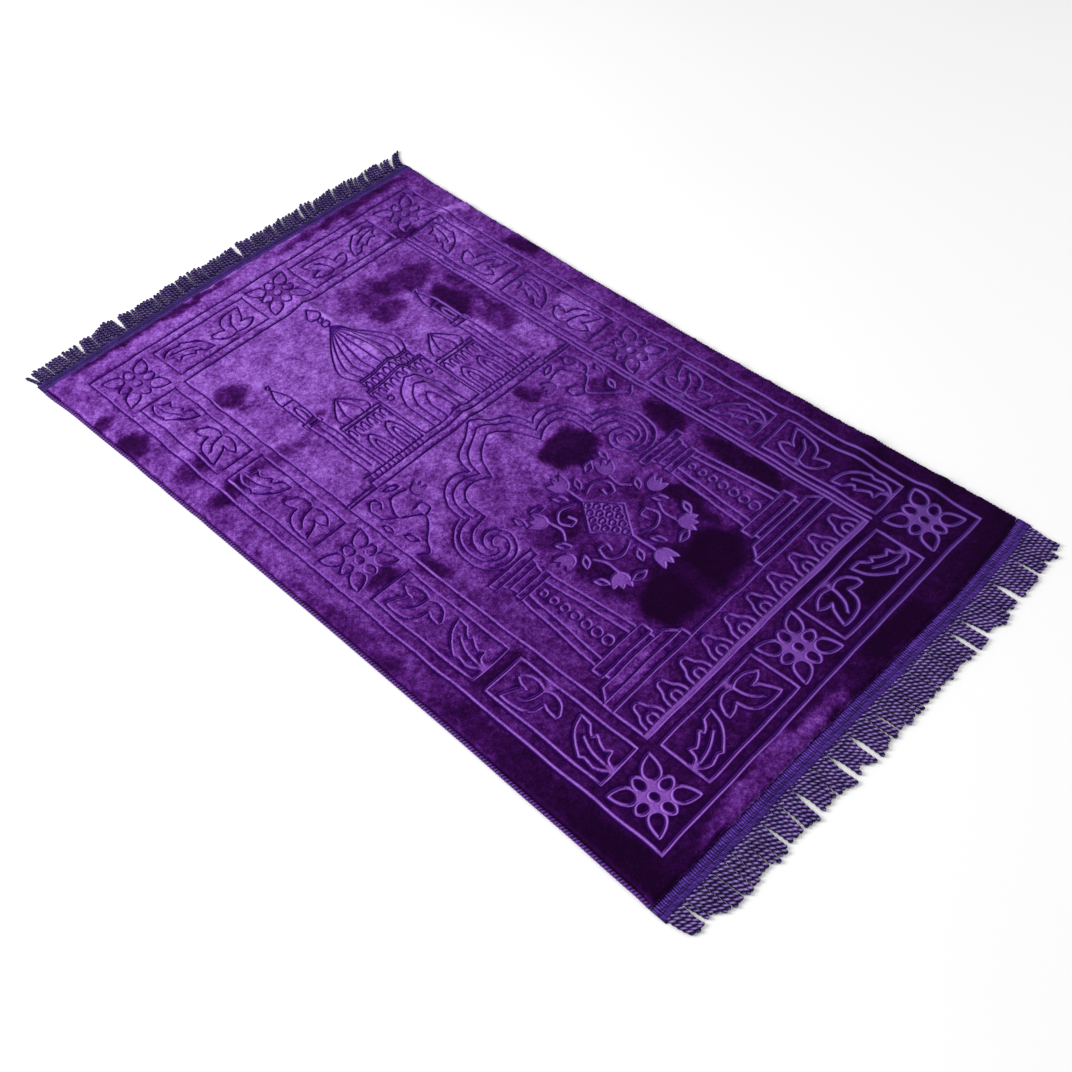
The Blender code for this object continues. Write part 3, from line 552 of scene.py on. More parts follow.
def rosette():
    """Four pointed petals on the diagonals and four round ones between, the ground inside
    them pressed flat round a small oval."""
    heart = ring(0, 0, 6.4, 7.0)
    made = Drawing([heart], [ring(0, 0, ROSETTE_FILL)], [heart])
    for first, root, tip, width, pointed in ROSETTE_PETALS:
        drop = petal(root, tip, width, pointed)
        for i in range(4):
            turned = placed(drop, degrees=first + 90 * i)
            made = made + Drawing([turned], [], [turned])
    return made


def toothed_leaf():
    """A leaf along +u from its stalk at (0, 0), with large teeth on its upper side, small
    ones below, a midrib, and a solid wedge at the stalk."""
    edge = curve(
        (0.0, 0.0), (12.0, 5.0), (15.0, 16.0), (22.0, 11.0), (30.0, 15.0), (38.0, 21.0),
        (40.5, 15.5), (46.0, 19.0), (52.0, 26.0), (66.0, 27.5), (60.0, 10.5), (50.0, -1.0),
        (36.0, -11.5), (31.0, -8.5), (18.0, -11.5), (9.0, -8.0), closed=True,
        sharp=(0, 2, 3, 5, 6, 8, 9, 12, 13, 14),
    )
    rib = curve((12.0, -1.0), (25.0, 0.5), (36.0, 4.0), (47.0, 10.0))
    wedge = straight((-1.5, -7.5), (4.0, -3.0), (14.0, -1.0), (5.0, 3.4), (-1.5, 7.5), closed=True)
    return Drawing([edge, rib], [wedge])


def across_diagonal(shape):
    """The shape mirrored in the line u = v."""
    points, closed = shape
    return points[:, ::-1], closed


def sprig():
    """A stalk from the rule above, a bud to the left and a two-pointed leaf to the right,
    hanging towards -v from the stalk's root at (0, 0)."""
    bud = curve(
        (0.0, -12.0), (-11.0, -9.0), (-23.0, -13.5), (-31.0, -25.0), (-30.0, -31.0),
        (-19.0, -29.5), (-11.0, -25.5), sharp=(3, 4, 6),
    )
    leaf = curve(
        (0.0, -12.0), (11.0, -8.0), (24.0, -10.0), (35.0, -18.0), (26.0, -23.0), (16.0, -24.0),
        (22.0, -28.5), (27.0, -38.0), (32.0, -50.0), (19.0, -50.5), (2.0, -47.5),
        (-8.0, -38.5), (-11.0, -25.5), sharp=(3, 5, 8),
    )
    vein = curve((0.5, -10.0), (2.0, -22.0), (6.0, -33.0), (14.0, -41.0))
    root = straight((-6.5, 1.0), (5.5, 1.0), (2.0, -13.0), (-2.5, -13.0), closed=True)
    return Drawing([bud, leaf, vein], [root])


def border():
    """Rules, rosettes and the leaf and sprig of each panel."""
    quarter = Drawing([rectangle(*BAND_PANEL)]) + toothed_leaf().at(*BAND_LEAF, flip_u=-1, flip_v=-1)
    quarter += sprig().at(BAND_SPRIG_U, BAND_PANEL[2], flip_u=-1, flip_v=-1)
    for u0, u1, v0, v1 in SIDE_PANELS:
        quarter += Drawing([rectangle(u0, u1, v0, v1)])
        leaf = toothed_leaf().each(across_diagonal)
        quarter += leaf.at(SIDE_LEAF_U, v1 - 1.0, flip_u=-1, flip_v=-1)
        quarter += sprig().at(u0, v0 + SIDE_SPRIG_RISE, 90, flip_v=-1)
    made = quarter.four_ways()
    for half_u, half_v in (OUTER_RULE, FIELD_RULE):
        made += Drawing([rectangle(-half_u, half_u, -half_v, half_v)])
    for u, v in ROSETTES:
        for side_u in (1, -1) if u else (1,):
            for side_v in (1, -1) if v else (1,):
                made += rosette().at(side_u * u, side_v * v)
    beside = straight((FIELD_RULE[0] + 6.5, -FIELD_RULE[1]), (FIELD_RULE[0] + 6.5, FIELD_RULE[1]))
    return made + Drawing([beside])


def arcade():
    """The row of small bell arches at the foot of the field, each with its keyhole, on a
    broad pressed foot."""
    half, foot, strip = FIELD_RULE[0], ARCADE_FOOT, ARCADE_FOOT + ARCADE_STRIP
    made = Drawing([straight((-half, ARCADE_RULE), (half, ARCADE_RULE))])
    made += Drawing([straight((-half, strip), (half, strip))], [rectangle(-half, half, foot, strip)])
    bell = curve(
        (-14.0, 4.0), (-14.5, 11.0), (-12.6, 18.0), (-8.2, 23.5), (-6.4, 28.5), (-4.5, 33.5),
        (0.0, 35.8), (4.5, 33.5), (6.4, 28.5), (8.2, 23.5), (12.6, 18.0), (14.5, 11.0),
        (14.0, 4.0),
    )
    keyhole = curve(
        (-4.8, 4.5), (-5.6, 10.0), (-4.6, 15.0), (0.0, 18.0), (4.6, 15.0), (5.6, 10.0), (4.8, 4.5)
    )
    for i in range(ARCADE_COUNT):
        u = (i - (ARCADE_COUNT - 1) / 2) * ARCADE_PITCH
        made += Drawing([bell, keyhole]).at(u, foot)
    return made


def column():
    """The right-hand column: stepped blocks, a tapering shaft and its string of beads."""
    lines = []
    for top, foot, half_top, half_foot in COLUMN_BLOCKS:
        corners = (-half_top, top), (half_top, top), (half_foot, foot), (-half_foot, foot)
        lines.append(straight(*corners, closed=True))
    for half_top, half_foot in SHAFT_LINES:
        for side in (1, -1):
            lines.append(straight((side * half_top, SHAFT_TOP), (side * half_foot, SHAFT_FOOT)))
    for share in np.linspace(0, 1, BEADS):
        radius = BEAD_SMALL + (BEAD_LARGE - BEAD_SMALL) * share
        lines.append(ring(0.0, BEAD_TOP + (BEAD_FOOT - BEAD_TOP) * share, radius))
    return Drawing(lines).at(COLUMN_U)


def niche_arch():
    """The right half of the pointed, lobed arch: three lines side by side, each from the
    tip to its cusp, over the lobe and down to the scroll."""
    outer = curve(
        (0.0, 60.0), (22.0, 44.0), (42.0, 33.0), (52.0, 20.0), (56.0, 2.0), (64.0, 8.5),
        (77.0, 11.0), (92.0, 7.0), (104.0, -3.0), (112.0, -18.0), (114.0, -34.0),
        (113.0, -45.0), sharp=(4,),
    )
    middle = curve(
        (0.0, 44.0), (20.0, 34.0), (37.0, 23.0), (46.0, 9.0), (50.0, -9.0), (62.0, -3.5),
        (78.0, -1.5), (92.0, -6.0), (101.0, -15.0), (105.0, -28.0), (105.0, -50.0), sharp=(4,),
    )
    inner = curve(
        (0.0, 27.0), (18.0, 18.0), (31.0, 6.0), (38.0, -9.0), (43.0, -24.0), (57.0, -15.5),
        (71.0, -13.0), (84.0, -17.0), (91.0, -26.0), (94.0, -40.0), (93.0, -60.0), sharp=(4,),
    )
    return Drawing([outer, middle, inner])


def volute():
    """The right-hand scroll that the arch stands on: three lines wound inwards together."""
    outer = curve(
        (117.0, -42.0), (131.0, -47.0), (144.0, -57.0), (153.0, -69.0), (157.0, -84.0),
        (156.5, -100.0), (151.0, -114.0), (141.0, -123.0), (128.0, -128.0), (115.0, -127.5),
        (103.0, -121.0), (95.0, -109.0), (93.0, -96.0), (98.0, -85.0), (106.0, -79.0),
        (116.0, -79.0), (124.0, -84.0), (128.0, -93.0), (126.0, -101.0),
    )
    middle = curve(
        (109.0, -50.0), (125.0, -53.0), (138.0, -61.0), (146.0, -75.0), (147.5, -92.0),
        (142.5, -106.0), (132.0, -116.0), (120.0, -119.0), (109.0, -115.0), (102.5, -106.0),
        (102.0, -96.0), (107.0, -89.5), (115.0, -90.5), (120.0, -97.0), (117.0, -105.0),
    )
    inner = curve(
        (94.0, -61.0), (106.0, -62.5), (119.0, -65.0), (130.0, -73.0), (137.0, -86.0),
        (136.0, -99.0), (130.0, -108.0), (121.0, -110.0),
    )
    return Drawing([outer, middle, inner])


def dome(base, half_width, height, swell=1.22):
    """A bulb with a pointed tip, drawn from its left foot to its right one."""
    wide = half_width * swell
    return curve(
        (-half_width, base), (-wide, base + 0.27 * height), (-0.62 * wide, base + 0.62 * height),
        (0.0, base + height), (0.62 * wide, base + 0.62 * height), (wide, base + 0.27 * height),
        (half_width, base), sharp=(3,),
    )


def pointed_opening(u, foot, half_width, height):
    """An opening with straight sides and a pointed top of two bowed spans."""
    spring, bow = foot + 0.6 * height, foot + 0.85 * height
    return curve(
        (u - half_width, foot), (u - half_width, spring), (u - 0.62 * half_width, bow),
        (u, foot + height), (u + 0.62 * half_width, bow), (u + half_width, spring),
        (u + half_width, foot), sharp=(1, 3, 5),
    )


def rail(u0, u1, v0, v1, count):
    """A rail of upright bars between two lines."""
    lines = [straight((u0, v0), (u1, v0)), straight((u0, v1), (u1, v1))]
    for u in np.linspace(u0, u1, count + 1)[1:-1]:
        lines.append(straight((u, v0), (u, v1)))
    return lines


def frieze(u0, u1, foot, height, count):
    """A row of small round-headed niches under a line."""
    lines = [straight((u0, foot + height + 3.5), (u1, foot + height + 3.5))]
    step = (u1 - u0) / count
    for i in range(count):
        u = u0 + (i + 0.5) * step
        half = 0.32 * step
        lines.append(
            curve((u - half, foot), (u - half, foot + 0.55 * height), (u, foot + height),
                  (u + half, foot + 0.55 * height), (u + half, foot))
        )
    return lines


def pavilion():
    """A garden pavilion seen from the front: a railed plinth, a tall middle porch, low wings
    under small domes, an arcaded drum with a ribbed bulb dome, and a slim tower at each end."""
    foot = DIVIDING_RULE
    wing, porch, tower = (52.0, 116.0), 48.0, (122.0, 140.0)
    right = [
        rectangle(*wing, foot + 22, foot + 106),
        pointed_opening(68.0, foot + 22, 10.0, 52.0),
        pointed_opening(68.0, foot + 22, 4.5, 40.0),
        pointed_opening(97.0, foot + 22, 10.0, 52.0),
        pointed_opening(97.0, foot + 22, 4.5, 40.0),
        placed(dome(foot + 106, 20.0, 46.0), 84.0),
        placed(dome(foot + 106, 9.0, 42.0), 84.0),
        rectangle(*tower, foot + 22, foot + 190),
        rectangle(118.0, 144.0, foot + 136, foot + 145),
        placed(dome(foot + 190, 9.0, 34.0, 1.0), 131.0),
        pointed_opening(131.0, foot + 152, 4.0, 26.0),
        straight((131.0, foot + 34), (131.0, foot + 126)),
        ring(131.0, foot + 230, 3.2),
        straight((porch, foot + 12), (150.0, foot + 12)),
    ]
    right += frieze(*wing, foot + 82, 14.0, 6)
    right += rail(wing[0], 150.0, foot + 12, foot + 22, 14)
    middle = [
        rectangle(-150.0, 150.0, foot, foot + 12),
        rectangle(-porch, porch, foot + 22, foot + 132),
        pointed_opening(0.0, foot + 22, 30.0, 88.0),
        pointed_opening(0.0, foot + 22, 19.0, 70.0),
        pointed_opening(0.0, foot + 22, 8.0, 48.0),
        rectangle(-41.0, 41.0, foot + 132, foot + 152),
        dome(foot + 152, 42.0, 104.0),
        straight((0.0, foot + 152), (0.0, foot + 256)),
        ring(0.0, foot + 264, 5.5),
        ring(0.0, foot + 275, 4.0),
        curve((-5.0, foot + 281), (-9.0, foot + 290), (0.0, foot + 306), (9.0, foot + 290),
              (5.0, foot + 281), closed=True, sharp=(2,)),
        straight((-197.0, foot + 5.5), (-150.0, foot + 5.5)),
        straight((150.0, foot + 5.5), (197.0, foot + 5.5)),
        straight((-197.0, foot), (197.0, foot)),
    ]
    middle += frieze(-41.0, 41.0, foot + 133, 12.0, 8)
    middle += frieze(-porch, porch, foot + 114, 11.0, 9)
    for share in (0.26, 0.52, 0.78):
        right.append(curve(
            (share * 42, foot + 152), (share * 51, foot + 180), (share * 31, foot + 217),
            (0.0, foot + 255),
        ))
    spandrel = ring(34.0, foot + 100, 4.6)
    return Drawing(right + [spandrel]).mirrored() + Drawing(middle)


def flower(u, v, degrees, size):
    """An open tulip pressed flat: three points over a round cup."""
    cup = curve(
        (0.0, -0.9 * size), (0.75 * size, -0.35 * size), (0.9 * size, 0.9 * size),
        (0.3 * size, 0.3 * size), (0.0, size), (-0.3 * size, 0.3 * size),
        (-0.9 * size, 0.9 * size), (-0.75 * size, -0.35 * size), closed=True,
        sharp=(2, 3, 4, 5, 6),
    )
    return Drawing([cup], [cup]).at(u, v, degrees)


def almond(u, v, degrees, length, width):
    """A small pointed leaf: two bows that meet at both ends."""
    half = length / 2
    edge = curve((-half, 0.0), (0.0, width / 2), (half, 0.0), (0.0, -width / 2), closed=True, sharp=(0, 2))
    return Drawing([edge]).at(u, v, degrees)


def seed_head():
    """A diamond of overlapping scales: ovals in rows that widen and narrow again."""
    made = Drawing([straight((0.0, -129.0), (31.0, -166.0), (0.0, -203.0), (-31.0, -166.0), closed=True)])
    for row in range(-3, 4):
        count = 4 - abs(row)
        for i in range(count):
            u = (i - (count - 1) / 2) * 13.0
            made += Drawing([ring(u, -166.0 + row * 9.6, 4.6, 3.6)])
    return made


def bouquet():
    """The seed head under the arch, the flowers, leaves and scrolls round it, and the
    spandrels' scrolls."""
    right = drawings([
        flower(59.0, -112.0, -35.0, 12.0),
        flower(80.0, -173.0, -90.0, 12.0),
        flower(59.0, -236.0, -145.0, 12.0),
        almond(46.0, -97.0, 20.0, 22.0, 9.0),
        almond(74.0, -96.0, 80.0, 20.0, 8.0),
        almond(66.0, -156.0, 50.0, 20.0, 8.0),
        almond(66.0, -190.0, -50.0, 20.0, 8.0),
        almond(76.0, -222.0, 60.0, 20.0, 8.0),
        almond(40.0, -247.0, 10.0, 22.0, 9.0),
        almond(16.0, -228.0, -60.0, 20.0, 8.0),
        almond(16.0, -106.0, 60.0, 20.0, 8.0),
        flower(118.0, 30.0, 70.0, 10.0),
        almond(176.0, -22.0, 70.0, 20.0, 8.0),
        almond(140.0, 52.0, 20.0, 22.0, 8.0),
        almond(186.0, 8.0, 80.0, 18.0, 7.0),
    ])
    right += Drawing([
        curve((12.0, -124.0), (30.0, -118.0), (44.0, -130.0), (38.0, -144.0)),
        curve((38.0, -144.0), (28.0, -142.0), (30.0, -132.0)),
        curve((12.0, -208.0), (30.0, -214.0), (46.0, -204.0), (42.0, -188.0)),
        curve((42.0, -188.0), (31.0, -190.0), (33.0, -200.0)),
        curve((52.0, -122.0), (50.0, -140.0), (58.0, -152.0)),
        curve((52.0, -226.0), (51.0, -208.0), (58.0, -194.0)),
        curve((168.0, -38.0), (142.0, -10.0), (166.0, 12.0), (152.0, 40.0), (128.0, 38.0)),
        curve((142.0, -10.0), (128.0, -4.0), (130.0, 10.0), (142.0, 8.0)),
        curve((166.0, 12.0), (180.0, 24.0), (182.0, 44.0)),
        curve((182.0, 44.0), (172.0, 54.0), (164.0, 46.0), (170.0, 38.0)),
        curve((168.0, -38.0), (178.0, -52.0), (190.0, -44.0)),
    ])
    middle = flower(0.0, -92.0, 0.0, 13.0) + flower(0.0, -250.0, 180.0, 13.0)
    middle += Drawing([straight((0.0, -104.0), (0.0, -129.0)), straight((0.0, -203.0), (0.0, -238.0))])
    return right.mirrored() + middle + seed_head()


def pattern():
    """The whole pattern on the cloth, which has stretched a little unevenly, with the small
    wander of hand-laid lines."""
    niche = (column() + volute() + niche_arch()).mirrored()
    made = border() + arcade() + niche + pavilion() + bouquet()

    def laid(shape):
        points, closed = shape
        u, v = points.T
        wander = np.column_stack([ripple(u, v, 60.0, 3), ripple(u, v, 60.0, 4)])
        across, along = (u + CENTRE_U) / OUTER_RULE[0], (v + CENTRE_V) / OUTER_RULE[1]
        inwards = -RIGHT_DRAWN_IN * (1.0 - along**2) * (1.0 + across) / 2.0
        onwards = MIDDLE_PUSHED * (1.0 - across**2) - NEAR_RIGHT_PUSHED * across * np.minimum(along, 0.0)
        drift = np.column_stack([inwards, onwards])
        return points + wander * HAND_DRIFT + drift + (CENTRE_U, CENTRE_V), closed

    return made.each(laid)


# ---------------------------------------------------------------- meshes


def offset(points, closed, distance):
    """The line moved sideways by a distance, with its corners mitred up to a limit."""
    ahead = np.roll(points, -1, axis=0) - points
    if not closed:
        ahead[-1] = ahead[-2]
    ahead /= np.linalg.norm(ahead, axis=1)[:, None]
    behind = np.roll(ahead, 1, axis=0)
    if not closed:
        behind[0] = ahead[0]
    normal = np.column_stack([-(ahead + behind)[:, 1], (ahead + behind)[:, 0]]) / 2
    size = np.maximum(np.linalg.norm(normal, axis=1)[:, None], 1 / MITRE_LIMIT)
    return points + normal / size**2 * distance


def distance_to(points, lines, limit):
    """Each point's distance to the nearest run of any line, up to the limit, and how far it
    lies from there towards the side that the painted light comes from. The points are
    sorted along Y, so that each run is measured only against those beside it."""
    order = np.argsort(points[:, 1])
    sorted_points = points[order]
    nearest, sided = np.full(len(points), limit), np.zeros(len(points))
    for line, closed in lines:
        starts = line if closed else line[:-1]
        stops = np.roll(line, -1, axis=0) if closed else line[1:]
        low = np.searchsorted(sorted_points[:, 1], np.minimum(starts, stops)[:, 1] - limit)
        high = np.searchsorted(sorted_points[:, 1], np.maximum(starts, stops)[:, 1] + limit)
        for a, b, first, last in zip(starts, stops, low, high):
            away = sorted_points[first:last] - a
            run = b - a
            share = np.clip(away @ run / max(run @ run, 1e-9), 0, 1)
            gap = away - share[:, None] * run
            reach = np.hypot(gap[:, 0], gap[:, 1])
            closer = reach < nearest[first:last]
            nearest[first:last][closer] = reach[closer]
            sided[first:last][closer] = gap[closer] @ np.array(PAINTED_LIGHT_FROM)
    back = np.argsort(order)
    return nearest[back], sided[back]


def inside(points, shape):
    """True where a point is in the closed shape: an odd number of edges lies to its right."""
    edge, _ = shape
    low, high = edge.min(axis=0), edge.max(axis=0)
    near = np.flatnonzero(np.all((points > low) & (points < high), axis=1))
    x, y = points[near].T
    odd = np.zeros(len(near), bool)
    for (x0, y0), (x1, y1) in zip(edge, np.roll(edge, -1, axis=0)):
        if y0 != y1:
            crosses = (y > y0) != (y > y1)
            odd ^= crosses & (x < x0 + (y - y0) * (x1 - x0) / (y1 - y0))
    found = np.zeros(len(points), bool)
    found[near[odd]] = True
    return found


def outline(inset, fray=0.0):
    """The pile's outline, anticlockwise from the near left corner, moved in by inset; the
    ends hang out unevenly by fray times FRAY, and the sides by fray times their TUFTS."""
    reach = BEAD_WIDTH + SEAM_GAP + inset
    along = np.linspace(-1, 1, round(2 * CLOTH_END / RIM_STEP))
    across = np.linspace(-1, 1, round(2 * HALF_WIDTH / RIM_STEP))

    def corner(side, end):
        x = side_x(end * CLOTH_END, side) - side * reach
        return np.array([x, end_y(x, end) - end * inset])

    def end_run(end):
        a, b = corner(-1, end), corner(1, end)
        x = a[0] + (b[0] - a[0]) * (across + 1) / 2
        hang = ripples(x, x * 0, FRAY_WAVES, end, FRAY_MEAN)
        hang = FRAY * hang.clip(0, 1) * fray * np.clip(CORNER_RISE * (1 - np.abs(across)), 0, 1)
        return np.column_stack([x, end_y(x, end) - end * (inset - hang)])

    def side_run(side):
        a, b = corner(side, -1), corner(side, 1)
        y = a[1] + (b[1] - a[1]) * (along + 1) / 2
        hang, ragged = TUFTS[side]
        hang = hang + ragged * ripples(y, y * 0, TUFT_WAVES)
        hang = hang.clip(0, None) * fray * np.clip(CORNER_RISE * (1 - np.abs(along)), 0, 1)
        x = side_x(y, side) - side * (reach - hang)
        x[0], x[-1] = a[0], b[0]
        return np.column_stack([x, y])

    runs = (end_run(-1)[:-1], side_run(1)[:-1], end_run(1)[::-1][:-1], side_run(-1)[::-1][:-1])
    return np.vstack(runs)


def grid_inside(step, margin, seed=None):
    """Rows of points, every other one shifted by half a step, jogged a little by a seed."""
    x = np.arange(-HALF_WIDTH, HALF_WIDTH, step)
    y = np.arange(-CLOTH_END, CLOTH_END, step * ROW_SPACING)
    gx, gy = np.meshgrid(x, y)
    gx[1::2] += step / 2
    points = np.column_stack([gx.ravel(), gy.ravel()])
    if seed is not None:
        points += np.random.default_rng(seed).uniform(-JOG, JOG, points.shape) * step
    left = side_x(points[:, 1], -1) + BEAD_WIDTH + margin
    right = side_x(points[:, 1], 1) - BEAD_WIDTH - margin
    near = end_y(points[:, 0], -1) + margin
    far = end_y(points[:, 0], 1) - margin
    x, y = points.T
    return points[(x > left) & (x < right) & (y > near) & (y < far)]


def triangulated(loops, lines, loose):
    """Points and triangles inside the first loop, with every loop and line kept as edges,
    and where each point of the first loop went."""
    points, edges = [], []
    first = 0
    for part, closed in [(loop, True) for loop in loops] + lines:
        count = len(part)
        points.append(part)
        edges += [(first + i, first + (i + 1) % count) for i in range(count - (not closed))]
        first += count
    points = np.vstack(points + [loose])
    flat = [Vector(p) for p in points.tolist()]
    rim = range(len(loops[0]))
    made, _, triangles, came_from, _, _ = delaunay_2d_cdt(flat, edges, [list(rim)], 1, WELD)
    went = {old: new for new, sources in enumerate(came_from) for old in sources}
    return np.array([tuple(p) for p in made]), np.array(triangles), [went[i] for i in rim]


def mesh_piece(name, points, faces, smooth=True):
    """An object from arrays: points in millimetres, and faces that all have as many corners."""
    points, faces = np.asarray(points, float) * MM, np.asarray(faces, int)
    mesh = bpy.data.meshes.new(name)
    sides = faces.shape[1]
    mesh.vertices.add(len(points))
    mesh.vertices.foreach_set("co", points.astype(np.float32).ravel())
    mesh.loops.add(faces.size)
    mesh.loops.foreach_set("vertex_index", faces.astype(np.int32).ravel())
    mesh.polygons.add(len(faces))
    mesh.polygons.foreach_set("loop_start", np.arange(0, faces.size, sides, dtype=np.int32))
    mesh.update(calc_edges=True)
    mesh.validate()
    if smooth:
        mesh.shade_smooth()
    piece = bpy.data.objects.new(name, mesh)
    bpy.context.scene.collection.objects.link(piece)
    return piece


def carry(piece, name, values):
    """Keeps a number at each point of the piece, for its finish to read."""
    attribute = piece.data.attributes.new(name, "FLOAT", "POINT")
    attribute.data.foreach_set("value", np.asarray(values, np.float32))


def smooth_step(value):
    value = np.clip(value, 0, 1)
    return value * value * (3 - 2 * value)


def plush_pile(drawing):
    """The pile's top, pressed along the lines and over the areas, its rounded rim that hangs
    out in tufts, a low wall and the underside. Height = standing height - depth
    s(1 - d / half width), with d the distance to the nearest line and s a smooth step, + the
    ridges and the crease, which has rows of points of its own, + crushed unevenness. Each
    point keeps what the velvet reads: the painted sheen and shade of the pile's lie, with a
    painted highlight down the near rim and painted shade down the far rim and the sides; the
    lean of its face towards the painted light; the way to the nearest line and on which side;
    what is pressed flat; and the glow, the painted sheen of pressed pile."""
    rows = [(points, closed) for points, closed in drawing.lines]
    for reach in LINE_ROWS[1:]:
        for side in (1, -1):
            rows += [(offset(p, closed, side * reach), closed) for p, closed in drawing.lines]
    rims = [outline(inset, 1 - inset / RIM_ROWS[-1][0]) for inset, _ in RIM_ROWS]
    columns = CREASE_X + np.array(CREASE_COLUMNS)
    stations = np.arange(-RIM_END, RIM_END, CREASE_STEP)
    crease = np.stack(np.meshgrid(columns, stations), axis=-1).reshape(-1, 2)
    field = grid_inside(FIELD_STEP, FIELD_MARGIN, seed=11)
    beside = (field[:, 0] > columns[0] - CREASE_CLEAR) & (field[:, 0] < columns[-1] + CREASE_CLEAR)
    field = np.vstack([field[~beside | (np.abs(field[:, 1]) > RIM_END)], crease])
    field = field[distance_to(field, drawing.lines, HALO)[0] > LINE_ROWS[-1] + LINE_CLEAR]
    top, top_faces, top_rim = triangulated(rims, rows, field)

    x, y = top.T
    away, sided = distance_to(top, drawing.lines, HALO)
    pressed = smooth_step(1 - away / PRESS_HALF)
    flat = np.zeros(len(top), bool)
    for area in drawing.areas:
        flat |= inside(top, area)
    for island in drawing.islands:
        flat &= ~inside(top, island)
    depth = np.maximum(pressed, FILL_SHARE * flat)
    inset, _ = distance_to(top, [(rims[0], True)], RIM_ROWS[-1][0])
    share = np.interp(inset, [row[0] for row in RIM_ROWS], [row[1] for row in RIM_ROWS])
    uneven = PILE_UNEVEN * ripples(x, y, PILE_WAVES) * (1 - depth)
    height = PILE_EDGE + (PILE_TOP - PILE_EDGE) * share
    height += (uneven - PRESS_DEPTH * depth) * share
    height += lift(x, y)

    loose = grid_inside(FLOOR_STEP, FLOOR_MARGIN)
    under, under_faces, under_rim = triangulated([outline(0.0)], [], loose)
    floor = lift(*under.T)
    below = np.array(under_rim) + len(top)
    above = np.array(top_rim)
    wall = np.vstack([
        np.column_stack([np.roll(below, 1), below, above]),
        np.column_stack([np.roll(below, 1), above, np.roll(above, 1)]),
    ])
    points = np.vstack([np.column_stack([top, height]), np.column_stack([under, floor])])
    faces = np.vstack([top_faces, under_faces[:, ::-1] + len(top), wall])
    piece = mesh_piece("plush_pile", points, faces)

    # Painted light and shade on walls: the lean of each point's face towards the painted light, less down
    # the rim
    normals = np.empty(len(points) * 3, np.float32)
    piece.data.vertex_normals.foreach_get("vector", normals)
    lean = normals.reshape(-1, 3)[:, :2] @ np.array(PAINTED_LIGHT_FROM)
    lean[: len(top)] *= share
    x, y = points[:, :2].T
    # the painted sheen and shade of the pile's lie
    nap_sheen_and_shade = nap_sheen_and_shade_at(x, y)
    # painted highlight down the near rim, painted shade down the far rim and the sides
    rim_highlight_and_shade = np.where(top[:, 1] > RIM_END, RIM_SHADE_FAR, RIM_SHADE_SIDE)
    rim_highlight_and_shade = np.where(top[:, 1] < -RIM_END, RIM_HIGHLIGHT_NEAR, rim_highlight_and_shade)
    nap_sheen_and_shade[: len(top)] += (1 - share) * rim_highlight_and_shade
    blank = np.zeros(len(under))
    carry(piece, "nap_sheen_and_shade", nap_sheen_and_shade)
    carry(piece, "lean", lean)
    carry(piece, "flattened", np.concatenate([flat * share, blank]))
    carry(piece, "away", np.concatenate([away, blank + HALO]))
    carry(piece, "sided", np.concatenate([sided, blank]))
    # the painted sheen of pressed pile, weaker to the right
    carry(piece, "glow", PRESS_GLOW + PRESS_GLOW_ACROSS * x)
    return piece


def joined(parts):
    """One array of points and one of faces from several of each."""
    points, faces, first = [], [], 0
    for some_points, some_faces in parts:
        points.append(some_points)
        faces.append(some_faces + first)
        first += len(some_points)
    return np.vstack(points), np.vstack(faces)


def grid_triangles(rows, columns):
    """Triangles between the points of a grid counted row by row, each row being a ring."""
    r = np.arange(rows - 1)[:, None]
    c = np.arange(columns)[None]
    after = (c + 1) % columns
    a, b = r * columns + c, r * columns + after
    quads = np.stack([a, b, b + columns, a + columns], axis=-1).reshape(-1, 4)
    return np.vstack([quads[:, [0, 1, 2]], quads[:, [0, 2, 3]]])


def tubes(points):
    """Closed tubes from an array of points by tube, station, place in the section and axis.
    The section runs anticlockwise when one looks back along the tube from its end; each end
    is closed by a fan round a point in its middle."""
    count, stations, sides, _ = points.shape
    around = np.arange(sides)
    after = (around + 1) % sides
    start, stop = stations * sides, stations * sides + 1
    base = (stations - 1) * sides
    one = np.vstack([
        grid_triangles(stations, sides),
        np.column_stack([after, around, np.full(sides, start)]),
        np.column_stack([base + around, base + after, np.full(sides, stop)]),
    ])
    ends = points[:, [0, -1]].mean(axis=2)
    whole = np.concatenate([points.reshape(count, -1, 3), ends], axis=1)
    faces = one[None] + (np.arange(count) * whole.shape[1])[:, None, None]
    return whole.reshape(-1, 3), faces.reshape(-1, 3)


def whole_tubes(values):
    """The same order of points as tubes gives, for a number kept at each of them."""
    count = len(values)
    ends = values[:, [0, -1]].mean(axis=2)
    return np.concatenate([values.reshape(count, -1), ends], axis=1).ravel()


